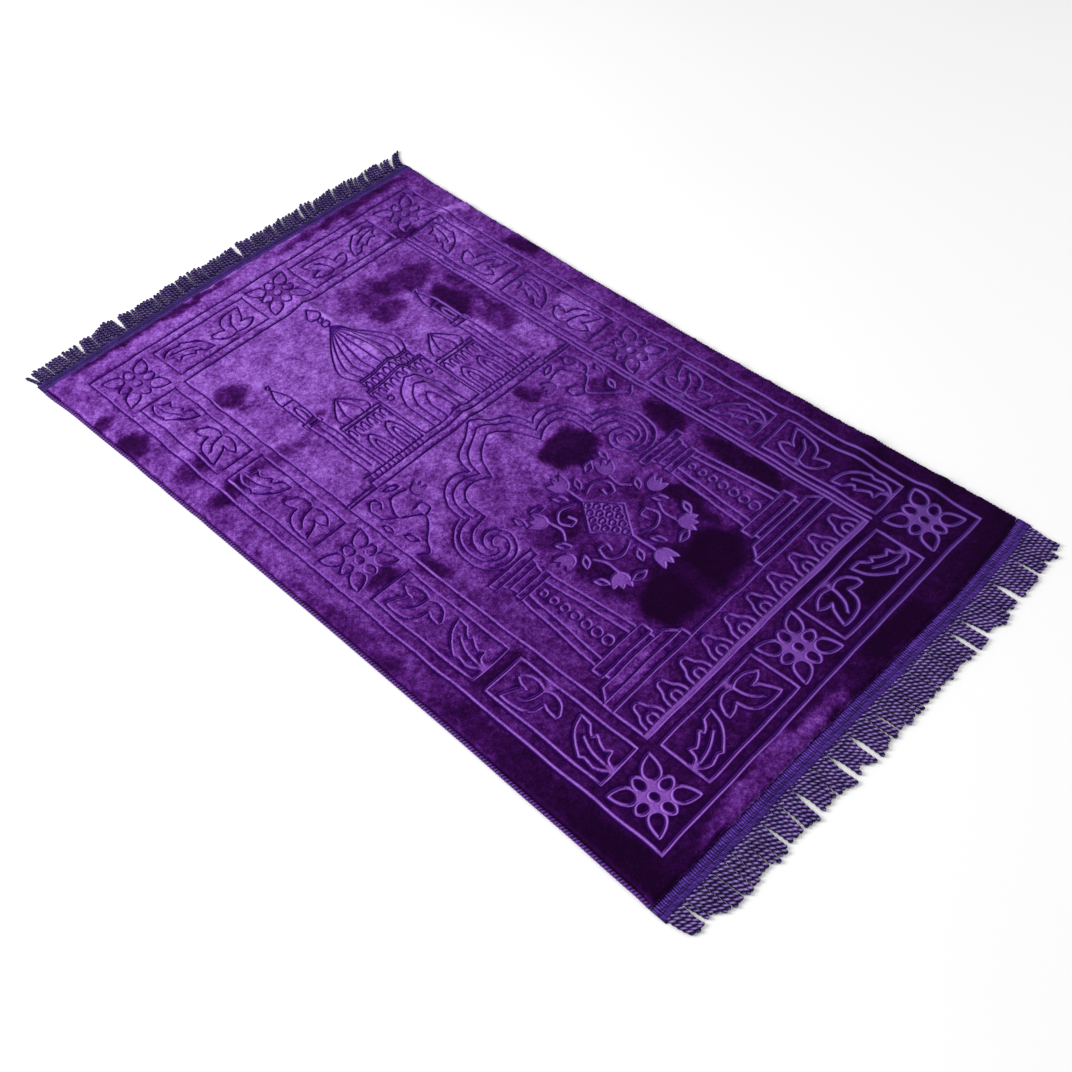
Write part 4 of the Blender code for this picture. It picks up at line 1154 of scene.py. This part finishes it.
def overlock(name, side):
    """The bead along a long edge. Its core is a half round carried along the side:
    the cosine, and the sine to the power BEAD_ROUND. Each stitch is a low rounded strip over
    the core from the pile's side to the floor, slanting along the edge as it goes."""
    near = end_y(side_x(-CLOTH_END, side), -1) + SEAM_GAP
    far = end_y(side_x(CLOTH_END, side), 1) - SEAM_GAP

    def on_bead(y, turn, proud):
        middle = side_x(y, side) - side * BEAD_WIDTH / 2
        rise = lift(side_x(y, side) - side * (BEAD_WIDTH + SEAM_GAP), y)
        across = -np.cos(turn) * (BEAD_WIDTH / 2 - STITCH_RISE + proud)
        up = (BEAD_HEIGHT[side] - STITCH_RISE + proud) * np.sin(turn) ** BEAD_ROUND
        return np.stack(np.broadcast_arrays(middle + side * across, y, rise + up), axis=-1)

    y = np.linspace(near, far, BEAD_STATIONS)[:, None]
    turn = np.linspace(0, math.pi, BEAD_SIDES)[None]
    core = tubes(on_bead(y, turn, 0.0)[None])

    draw = np.random.default_rng(21 + side)
    starts = np.arange(near + STITCH_MARGIN, far - STITCH_MARGIN, STITCH_PITCH)
    starts = starts + draw.uniform(-STITCH_JITTER, STITCH_JITTER, len(starts))
    half = STITCH_HALF * draw.uniform(*STITCH_VARIES, len(starts))
    share = np.linspace(0.0, 1.0, STITCH_STEPS)[None, :, None]
    place, proud = np.array(STITCH_SECTION).T[:, None, None]
    proud = proud * STITCH_RISE
    along = starts[:, None, None] + STITCH_SLANT * (share - 0.5) + half[:, None, None] * place
    over = np.broadcast_to(math.pi * (STITCH_START + STITCH_SPAN * share), along.shape)
    stitches = tubes(on_bead(np.clip(along, near, far), over, proud))
    if side < 0:
        core = core[0], core[1][:, ::-1]
        stitches = stitches[0], stitches[1][:, ::-1]
    piece = mesh_piece(name, *joined([core, stitches]))
    # painted highlight on the stitches' tops; the bead's core between them keeps the dark colour as
    # painted shade
    crest = whole_tubes(np.broadcast_to(np.clip(proud / STITCH_RISE, 0, 1), along.shape))
    carry(piece, "crest", np.concatenate([np.zeros(len(core[0])), crest]))
    return piece


def braid(name, end):
    """The looped braid sewn over the cloth's end, as a section carried across the rug. Its
    relief is |sin| of the loops' phase, which slants with the way out, in three belts: broad
    loops beside the pile, a chain of small knots, and finer loops beyond it. The relief is a
    little uneven, and the braid's outer edge wanders."""
    columns = round(2 * HALF_WIDTH / LOOP_PITCH) * BRAID_COLUMNS_A_LOOP
    left = side_x(end * CLOTH_END, -1) + BRAID_INSET
    right = side_x(end * CLOTH_END, 1) - BRAID_INSET
    x = np.linspace(left, right, columns)[:, None]
    out = np.linspace(0.0, 1.0, BRAID_ROWS)[None] * BRAID_WIDTH
    phase = x / LOOP_PITCH + ripple(x, out, 90.0, 31 + end) * 0.5
    loops = np.abs(np.sin(math.pi * (phase + 0.055 * out)))
    fine = np.abs(np.sin(math.pi * (1.5 * phase - 0.10 * out)))
    knots = np.abs(np.sin(math.pi * (phase + 0.25)))
    broad_belt, chain, fine_belt = (
        smooth_step((out - start) / rise) * smooth_step((stop - out) / fall)
        for start, rise, stop, fall in BRAID_BELTS
    )
    relief = broad_belt * (0.1 + 0.9 * loops) + 0.9 * chain * (0.2 + 0.8 * knots)
    relief = relief + fine_belt * (0.1 + 0.75 * fine)
    relief = relief * (0.9 + 0.3 * ripple(x, 2 * out, 5.0, 35 + end))
    edge = np.sin(math.pi * np.clip(out / BRAID_WIDTH, 0.02, 0.98)) ** 0.35
    top = BRAID_BASE + BRAID_THICK * edge + BRAID_RIB * relief
    wander = 1 + BRAID_EDGE_WANDER * ripple(x, x * 0, 26.0, 33 + end)
    y = end_y(x, end) + end * (SEAM_GAP + out * wander)
    ground = lift(x, end_y(x, end))
    upper = np.stack(np.broadcast_arrays(x, y, ground + top), axis=-1)
    lower = upper[:, [-1, 0]] * (1, 1, 0) + np.stack([x * 0, x * 0, ground + 0.05], axis=-1)
    ring_points = np.concatenate([upper, lower], axis=1)[None]
    points, faces = tubes(ring_points)
    if end > 0:
        faces = faces[:, ::-1]
    piece = mesh_piece(name, points, faces)
    below = np.zeros((columns, 2))
    # painted highlight on the raised loops and painted shade in the hollows, weaker at the far end
    crest = np.concatenate([relief * BRAID_SHINE[end], below], axis=1)
    carry(piece, "crest", whole_tubes(crest[None]))
    return piece


def fringe_cords(name, end):
    """Cords side by side, each of two strands laid close: one section with two grooves in it,
    which turns once in every CORD_TWIST along a gently bent path over the floor. Each has its
    own length, bend and start of its turns, on top of those of its place; the gaps push their
    neighbours apart. The crests of the strands keep a painted highlight, strongest on the
    cord's top, with painted shade between them."""
    draw = np.random.default_rng(41 + end)
    left = side_x(end * CLOTH_END, -1) + CORD_INSET
    right = side_x(end * CLOTH_END, 1) - CORD_INSET
    count = round((right - left) / CORD_PITCH)
    roots = left + (right - left) * (np.arange(count) + 0.5) / count
    roots = roots + draw.uniform(-CORD_JITTER, CORD_JITTER, count)
    spread = np.zeros(count)
    for gap, width, reach in CORD_GAPS[end]:
        away = roots - gap
        spread += np.sign(away) * width * np.exp(-np.abs(away) / reach)
    length = np.interp(roots, *np.array(CORD_LENGTHS[end]).T)
    length = length + draw.normal(0, LENGTH_SPREAD, count) + ripples(roots, roots * 0, LENGTH_WAVES, end)
    bend = draw.normal(0, BEND_SPREAD, count) + ripples(roots, roots * 0, BEND_WAVES, end)
    bend += np.interp(roots, *np.array(CORD_LEANS[end]).T)
    phase = draw.uniform(0, 2 * math.pi, count)

    share = np.linspace(0, 1, CORD_STEPS)[None, :, None]
    cord = (slice(None), None, None)
    out = CORD_ROOT + (length[cord] - CORD_ROOT) * share
    beyond = smooth_step((out - BRAID_WIDTH) / CORD_SETTLES)
    x = roots[cord] + spread[cord] * beyond + bend[cord] * share**2
    y = end_y(roots, end)[cord] + end * out
    ground = lift(roots, end_y(roots, end))[cord] * (1 - beyond)
    section = np.array(CORD_SECTION)[None, None]
    turn = np.arange(len(CORD_SECTION)) * 2 * math.pi / len(CORD_SECTION)
    turn = turn[None, None] + phase[cord] + end * 2 * math.pi * out / CORD_TWIST
    radius = CORD_RADIUS * section * np.where(share > TIP_START, TIP_RADIUS, 1.0)
    free = smooth_step((out - BRAID_WIDTH + CORD_TUCK) / TUCK_LENGTH)
    full = CORD_FLATNESS * (TUCK_HEIGHT + (1 - TUCK_HEIGHT) * free)
    middle = CORD_RADIUS * CORD_MIDDLE
    z = ground + CORD_OVER_FLOOR + full * np.maximum(middle + radius * np.sin(turn), 0.0)
    points = np.stack(np.broadcast_arrays(x + radius * np.cos(turn), y, z), axis=-1)
    made, faces = tubes(points)
    if end < 0:
        faces = faces[:, ::-1]
    piece = mesh_piece(name, made, faces)
    proud = (section - min(CORD_SECTION)) / (1 - min(CORD_SECTION))
    # painted highlight on the strands' crests, stronger on the cord's upper side, and painted shade
    # between
    above = CREST_LOW + (1 - CREST_LOW) * np.sin(turn).clip(0, 1) ** 2
    crest = proud**CREST_POWER * above * CORD_SHINE[end]
    carry(piece, "crest", whole_tubes(np.broadcast_to(crest, points.shape[:-1])))
    return piece


# ---------------------------------------------------------------- finishes


class Value:
    """A number that a shader node gives; sums and products of values add Math nodes."""

    def __init__(self, finish, socket):
        self.finish, self.socket = finish, socket

    def _math(self, operation, *numbers, clamp=False):
        settings = {"operation": operation, "use_clamp": clamp}
        return self.finish.node("Math", settings, dict(enumerate(numbers)))[0]

    def __add__(self, other):
        return self._math("ADD", self, other)

    def __sub__(self, other):
        return self._math("SUBTRACT", self, other)

    def __rsub__(self, other):
        return self._math("SUBTRACT", other, self)

    def __mul__(self, other):
        return self._math("MULTIPLY", self, other)

    def __pow__(self, other):
        return self._math("POWER", self, other)

    __radd__ = __add__
    __rmul__ = __mul__

    def clipped(self):
        return self._math("ADD", self, 0.0, clamp=True)

    def size(self):
        return self._math("ABSOLUTE", self)

    def larger(self, other):
        return self._math("MAXIMUM", self, other)


class Finish:
    """A material whose nodes are made one call at a time."""

    def __init__(self, name):
        self.material = bpy.data.materials.new(name)
        self.material.use_nodes = True
        self.tree = self.material.node_tree
        self.tree.nodes.clear()

    def node(self, kind, settings=None, sockets=None):
        """Adds a node: its settings first, then what its sockets hold or are linked to.
        Gives a list of its outputs as values."""
        made = self.tree.nodes.new("ShaderNode" + kind)
        for name, setting in (settings or {}).items():
            if name == "stops":
                ramp = made.color_ramp.elements
                for i, (place, colour) in enumerate(setting):
                    stop = ramp[i] if i < 2 else ramp.new(place)
                    stop.position, stop.color = place, (*colour, 1.0)
            else:
                setattr(made, name, setting)
        for name, held in (sockets or {}).items():
            if isinstance(held, Value):
                self.tree.links.new(held.socket, made.inputs[name])
            else:
                made.inputs[name].default_value = held
        return [Value(self, socket) for socket in made.outputs]

    def kept(self, name):
        """The number that a mesh carries under a name."""
        return self.node("Attribute", {"attribute_name": name})[2]

    def place(self, scale=(1.0, 1.0, 1.0)):
        """Where the point is on the piece, stretched along each axis."""
        where = self.node("TexCoord")[3]
        return self.node("Mapping", {}, {"Vector": where, "Scale": scale})[0]

    def noise(self, size, detail=2.0, roughness=0.5, scale=(1.0, 1.0, 1.0)):
        """Cloudy noise from 0 to 1 whose lumps are about as many millimetres long."""
        sockets = {
            "Vector": self.place(scale), "Scale": 1.0 / MM / size,
            "Detail": detail, "Roughness": roughness,
        }
        return self.node("TexNoise", {}, sockets)[0]

    def uneven(self, *settings):
        """The same noise from -0.5 to 0.5."""
        return self.noise(*settings) - 0.5

    def mixed(self, share, first, second):
        """A colour between two, by a share from 0 to 1."""
        return self.node("Mix", {"data_type": "RGBA"}, {0: share, 6: first, 7: second})[2]

    def between(self, share, first, second):
        """A number between two, by a share from 0 to 1."""
        return first + share * (second - first)

    def eased(self, value, low, high):
        """A smooth step from 0 at low to 1 at high."""
        sockets = {"Value": value, "From Min": low, "From Max": high}
        return self.node("MapRange", {"interpolation_type": "SMOOTHSTEP"}, sockets)[0]

    def ramp(self, value, stops):
        return self.node("ValToRGB", {"stops": stops}, {0: value})[0]

    def bump(self, height, distance, strength=1.0, normal=None):
        sockets = {"Height": height, "Distance": distance, "Strength": strength}
        if normal:
            sockets["Normal"] = normal
        return self.node("Bump", {}, sockets)[0]

    def surface(self, **sockets):
        """Ends the material in a Principled surface."""
        named = {name.replace("_", " "): held for name, held in sockets.items()}
        shader = self.node("BsdfPrincipled", {}, named)[0]
        self.node("OutputMaterial", {}, {"Surface": shader})
        return self.material


def velvet():
    """Pressed long-pile velvet, its sheen and shade painted into its colour. Ground = a smooth
    step through the painted sheen and shade of the pile's lie and its mottling. A pressed line
    has a band of painted sheen whose brightness starts at the glow in dark ground and falls
    with the ground's own to a power, and which is narrower in bright ground. In it runs a thin
    painted shadow, which lies aside of the line in dark ground and in its middle in bright, and
    beside it a rim that goes the other way: painted shade beside a light band, a painted
    highlight beside a dark one. Walls are painted lighter or darker by the way they lean
    towards the painted light. The outcome picks its colour from a violet ramp; the painted
    shadow and rim are tinted deep blue-violet, and the painted sheen on pressed pile in dark
    ground a cooler grey-violet."""
    finish = Finish("violet_velvet")
    nap_sheen_and_shade, away, sided = finish.kept("nap_sheen_and_shade"), finish.kept("away"), finish.kept("sided")
    flat, lean, glow = finish.kept("flattened"), finish.kept("lean"), finish.kept("glow")
    clouds, tufts, strokes = (finish.uneven(*row[:3]) * row[3] for row in MOTTLING)
    stir = 0.45 + 0.9 * nap_sheen_and_shade.clipped()
    # ground: the painted sheen and shade of the pile's lie, with its mottling
    ground = finish.eased(nap_sheen_and_shade + (clouds + tufts + strokes) * stir, -0.05, 1.05)
    grain = finish.uneven(1.5, 2.0, 0.7) * (0.38 + 0.62 * ground)

    # the band of painted sheen along a line, narrower in bright ground and softer on the side away from
    # the painted light
    reach = BAND_REACH - BAND_NARROWS * ground
    softness = finish.eased(sided, 1.6, -2.6) * 1.5 + 0.8
    line = (0.5 + (reach - away) * softness ** -1.0).clipped()
    # the rim: painted shade beside a light band and a painted highlight beside a dark one, strongest on
    # the side towards the painted light
    shaded = 0.35 + 0.65 * finish.eased(sided, -0.6, 1.4)
    rim = (1.0 - (away - reach - 1.3).size() * 0.75).clipped() * shaded * (1.0 - flat)
    # the painted sheen's brightness on a line and on a pressed area
    lined = glow + LINE_LIFT - LINE_FALL * ground ** LINE_FALL_POWER
    filled = glow - FILL_FALL * ground
    target = finish.between(flat, lined, filled)
    share = line.larger(flat)
    # the core: a thin painted shadow on the groove's wall that turns from the painted light; aside of the
    # line towards that light in dark ground, in its middle in bright
    facing = finish.eased(sided, -0.5, 0.5) * 2.0 - 1.0
    centre = GROOVE_SHADOW_ASIDE - GROOVE_SHADOW_ASIDE * ground
    thin = GROOVE_SHADOW_HALF + GROOVE_SHADOW_HALF * ground - (away * facing - centre).size()
    core = (thin - (away - 2.4).clipped() * 2.0).clipped() * (1.0 - flat)
    value = finish.between(share, ground, target)
    value = value - rim * (0.10 + (target - ground) * 0.42)
    value = value - core * GROOVE_SHADOW_DARK * (value - GROOVE_SHADOW_FLOOR)
    # walls painted lighter as they lean towards the painted light and darker as they lean away, and the
    # grain
    value = (value + lean * PAINTED_WALL_SHADING + grain).clipped()
    # the painted groove shadow and rim shading are tinted deep blue-violet
    deep = (rim * 0.3).larger(core * 0.45)
    colour = finish.mixed(deep, finish.ramp(value, VELVET_STOPS), GROOVE_SHADE_TINT)
    # the painted sheen on pressed pile in dark ground turns a cooler grey-violet
    cool = share * (1.0 - ground) * ((COOL_BELOW - glow) * 3.5).clipped()
    colour = finish.mixed(cool, colour, COOL_TINT)
    fuzz = finish.bump(finish.noise(1.4, 2.0, 0.7), 0.0008, 0.5)
    relief = finish.bump(finish.noise(5.0, 2.0, 0.6), 0.0016, 0.4, fuzz)
    return finish.surface(
        Base_Color=colour, Roughness=0.9, Specular_IOR_Level=0.02, Normal=relief,
        Sheen_Weight=0.05, Sheen_Roughness=0.4, Sheen_Tint=(0.5, 0.2, 1.0, 1.0),
    )


def thread(name):
    """Lustrous thread: painted shade between its turns and a painted highlight on their
    crests, with fine streaks along it."""
    dark, light, shine, roughness, streak = THREADS[name]
    finish = Finish(name)
    # the share of painted highlight; where it is low the thread takes the painted shade between the turns
    crest = finish.kept("crest")
    uneven = finish.uneven(14.0, 2.0)
    fibres = finish.uneven(0.9, 1.0, 0.6, streak)
    share = (crest + uneven * 0.5 + fibres * 0.7 - 0.1).clipped()
    colour = finish.mixed(share ** 1.6, (*dark, 1.0), (*light, 1.0))
    relief = finish.bump(fibres, 0.0005, 0.6)
    return finish.surface(
        Base_Color=colour, Roughness=roughness, Specular_IOR_Level=shine, Normal=relief,
        Sheen_Weight=0.06, Sheen_Roughness=0.4, Sheen_Tint=(0.6, 0.4, 1.0, 1.0),
    )


def pale_floor():
    """Plain matt paper white."""
    finish = Finish("pale_floor")
    cloud = finish.mixed(finish.noise(700.0, 1.0), (0.93, 0.93, 0.94, 1.0), (0.96, 0.96, 0.96, 1.0))
    return finish.surface(Base_Color=cloud, Roughness=0.9, Specular_IOR_Level=0.1)


# ---------------------------------------------------------------- floor, light and camera


def floor_piece():
    """A large flat sheet under the rug."""
    half = FLOOR_HALF / MM
    corners = [(-half, -half, 0), (half, -half, 0), (half, half, 0), (-half, half, 0)]
    return mesh_piece("studio_floor", corners, [(0, 1, 2, 3)], smooth=False)


def aimed(name, data, position, target):
    """Adds a lamp that shines from a position to a target."""
    lamp = bpy.data.objects.new(name, data)
    bpy.context.scene.collection.objects.link(lamp)
    lamp.location = position
    lamp.rotation_euler = (Vector(target) - Vector(position)).to_track_quat("-Z", "Y").to_euler()
    return lamp


def studio():
    """A white surround, one wide lamp from behind the rug and a weak one from the front."""
    world = bpy.data.worlds.new("soft_surround")
    world.use_nodes = True
    world.node_tree.nodes["Background"].inputs["Color"].default_value = (1.0, 1.0, 1.0, 1.0)
    world.node_tree.nodes["Background"].inputs["Strength"].default_value = WORLD_LIGHT
    bpy.context.scene.world = world
    for name, position, size, power in LAMPS:
        data = bpy.data.lights.new(name, "AREA")
        data.shape, data.size, data.energy = "DISK", size, power
        aimed(name, data, position, (0.0, 0.0, 0.0))
    bpy.context.scene.view_settings.view_transform = "Standard"


def camera():
    """Looks at CAMERA_TARGET along an azimuth and elevation, rolled a little."""
    turn, down = math.radians(CAMERA_AZIMUTH), math.radians(CAMERA_ELEVATION)
    roll = math.radians(CAMERA_ROLL)
    ahead = Vector((math.cos(down) * math.sin(turn), math.cos(down) * math.cos(turn), -math.sin(down)))
    right = ahead.cross(Vector((0, 0, 1))).normalized()
    up = right.cross(ahead)
    right, up = right * math.cos(roll) + up * math.sin(roll), up * math.cos(roll) - right * math.sin(roll)
    data = bpy.data.cameras.new("photo_view")
    data.lens, data.sensor_width, data.shift_x = CAMERA_LENS, SENSOR_WIDTH, CAMERA_SHIFT
    eye = bpy.data.objects.new("photo_view", data)
    bpy.context.scene.collection.objects.link(eye)
    turned = Matrix((right, up, -ahead)).transposed().to_4x4()
    eye.matrix_world = Matrix.Translation(Vector(CAMERA_TARGET) - ahead * CAMERA_DISTANCE) @ turned
    bpy.context.scene.camera = eye


# ---------------------------------------------------------------- assembly


def dressed(piece, finish, node):
    """Gives a piece its finish and its body, and hides the CAD node that it stands for."""
    piece.data.materials.append(finish)
    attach(piece, "root")
    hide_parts(node)
    return piece


studio()
camera()
ground = floor_piece()
ground.data.materials.append(pale_floor())

pile = dressed(plush_pile(pattern()), velvet(), "pile_cloth")
edge_thread, braid_thread, cord_thread = (thread(name) for name in THREADS)
trimmings = [
    dressed(overlock("overlock_stitches_left", -1), edge_thread, "overlock_left"),
    dressed(overlock("overlock_stitches_right", 1), edge_thread, "overlock_right"),
]
for end, word in ((-1, "near"), (1, "far")):
    header, cords = braid("braid_" + word, end), fringe_cords("cords_" + word, end)
    trimmings.append(dressed(header, braid_thread, "fringe_" + word))
    trimmings.append(dressed(cords, cord_thread, "fringe_" + word))
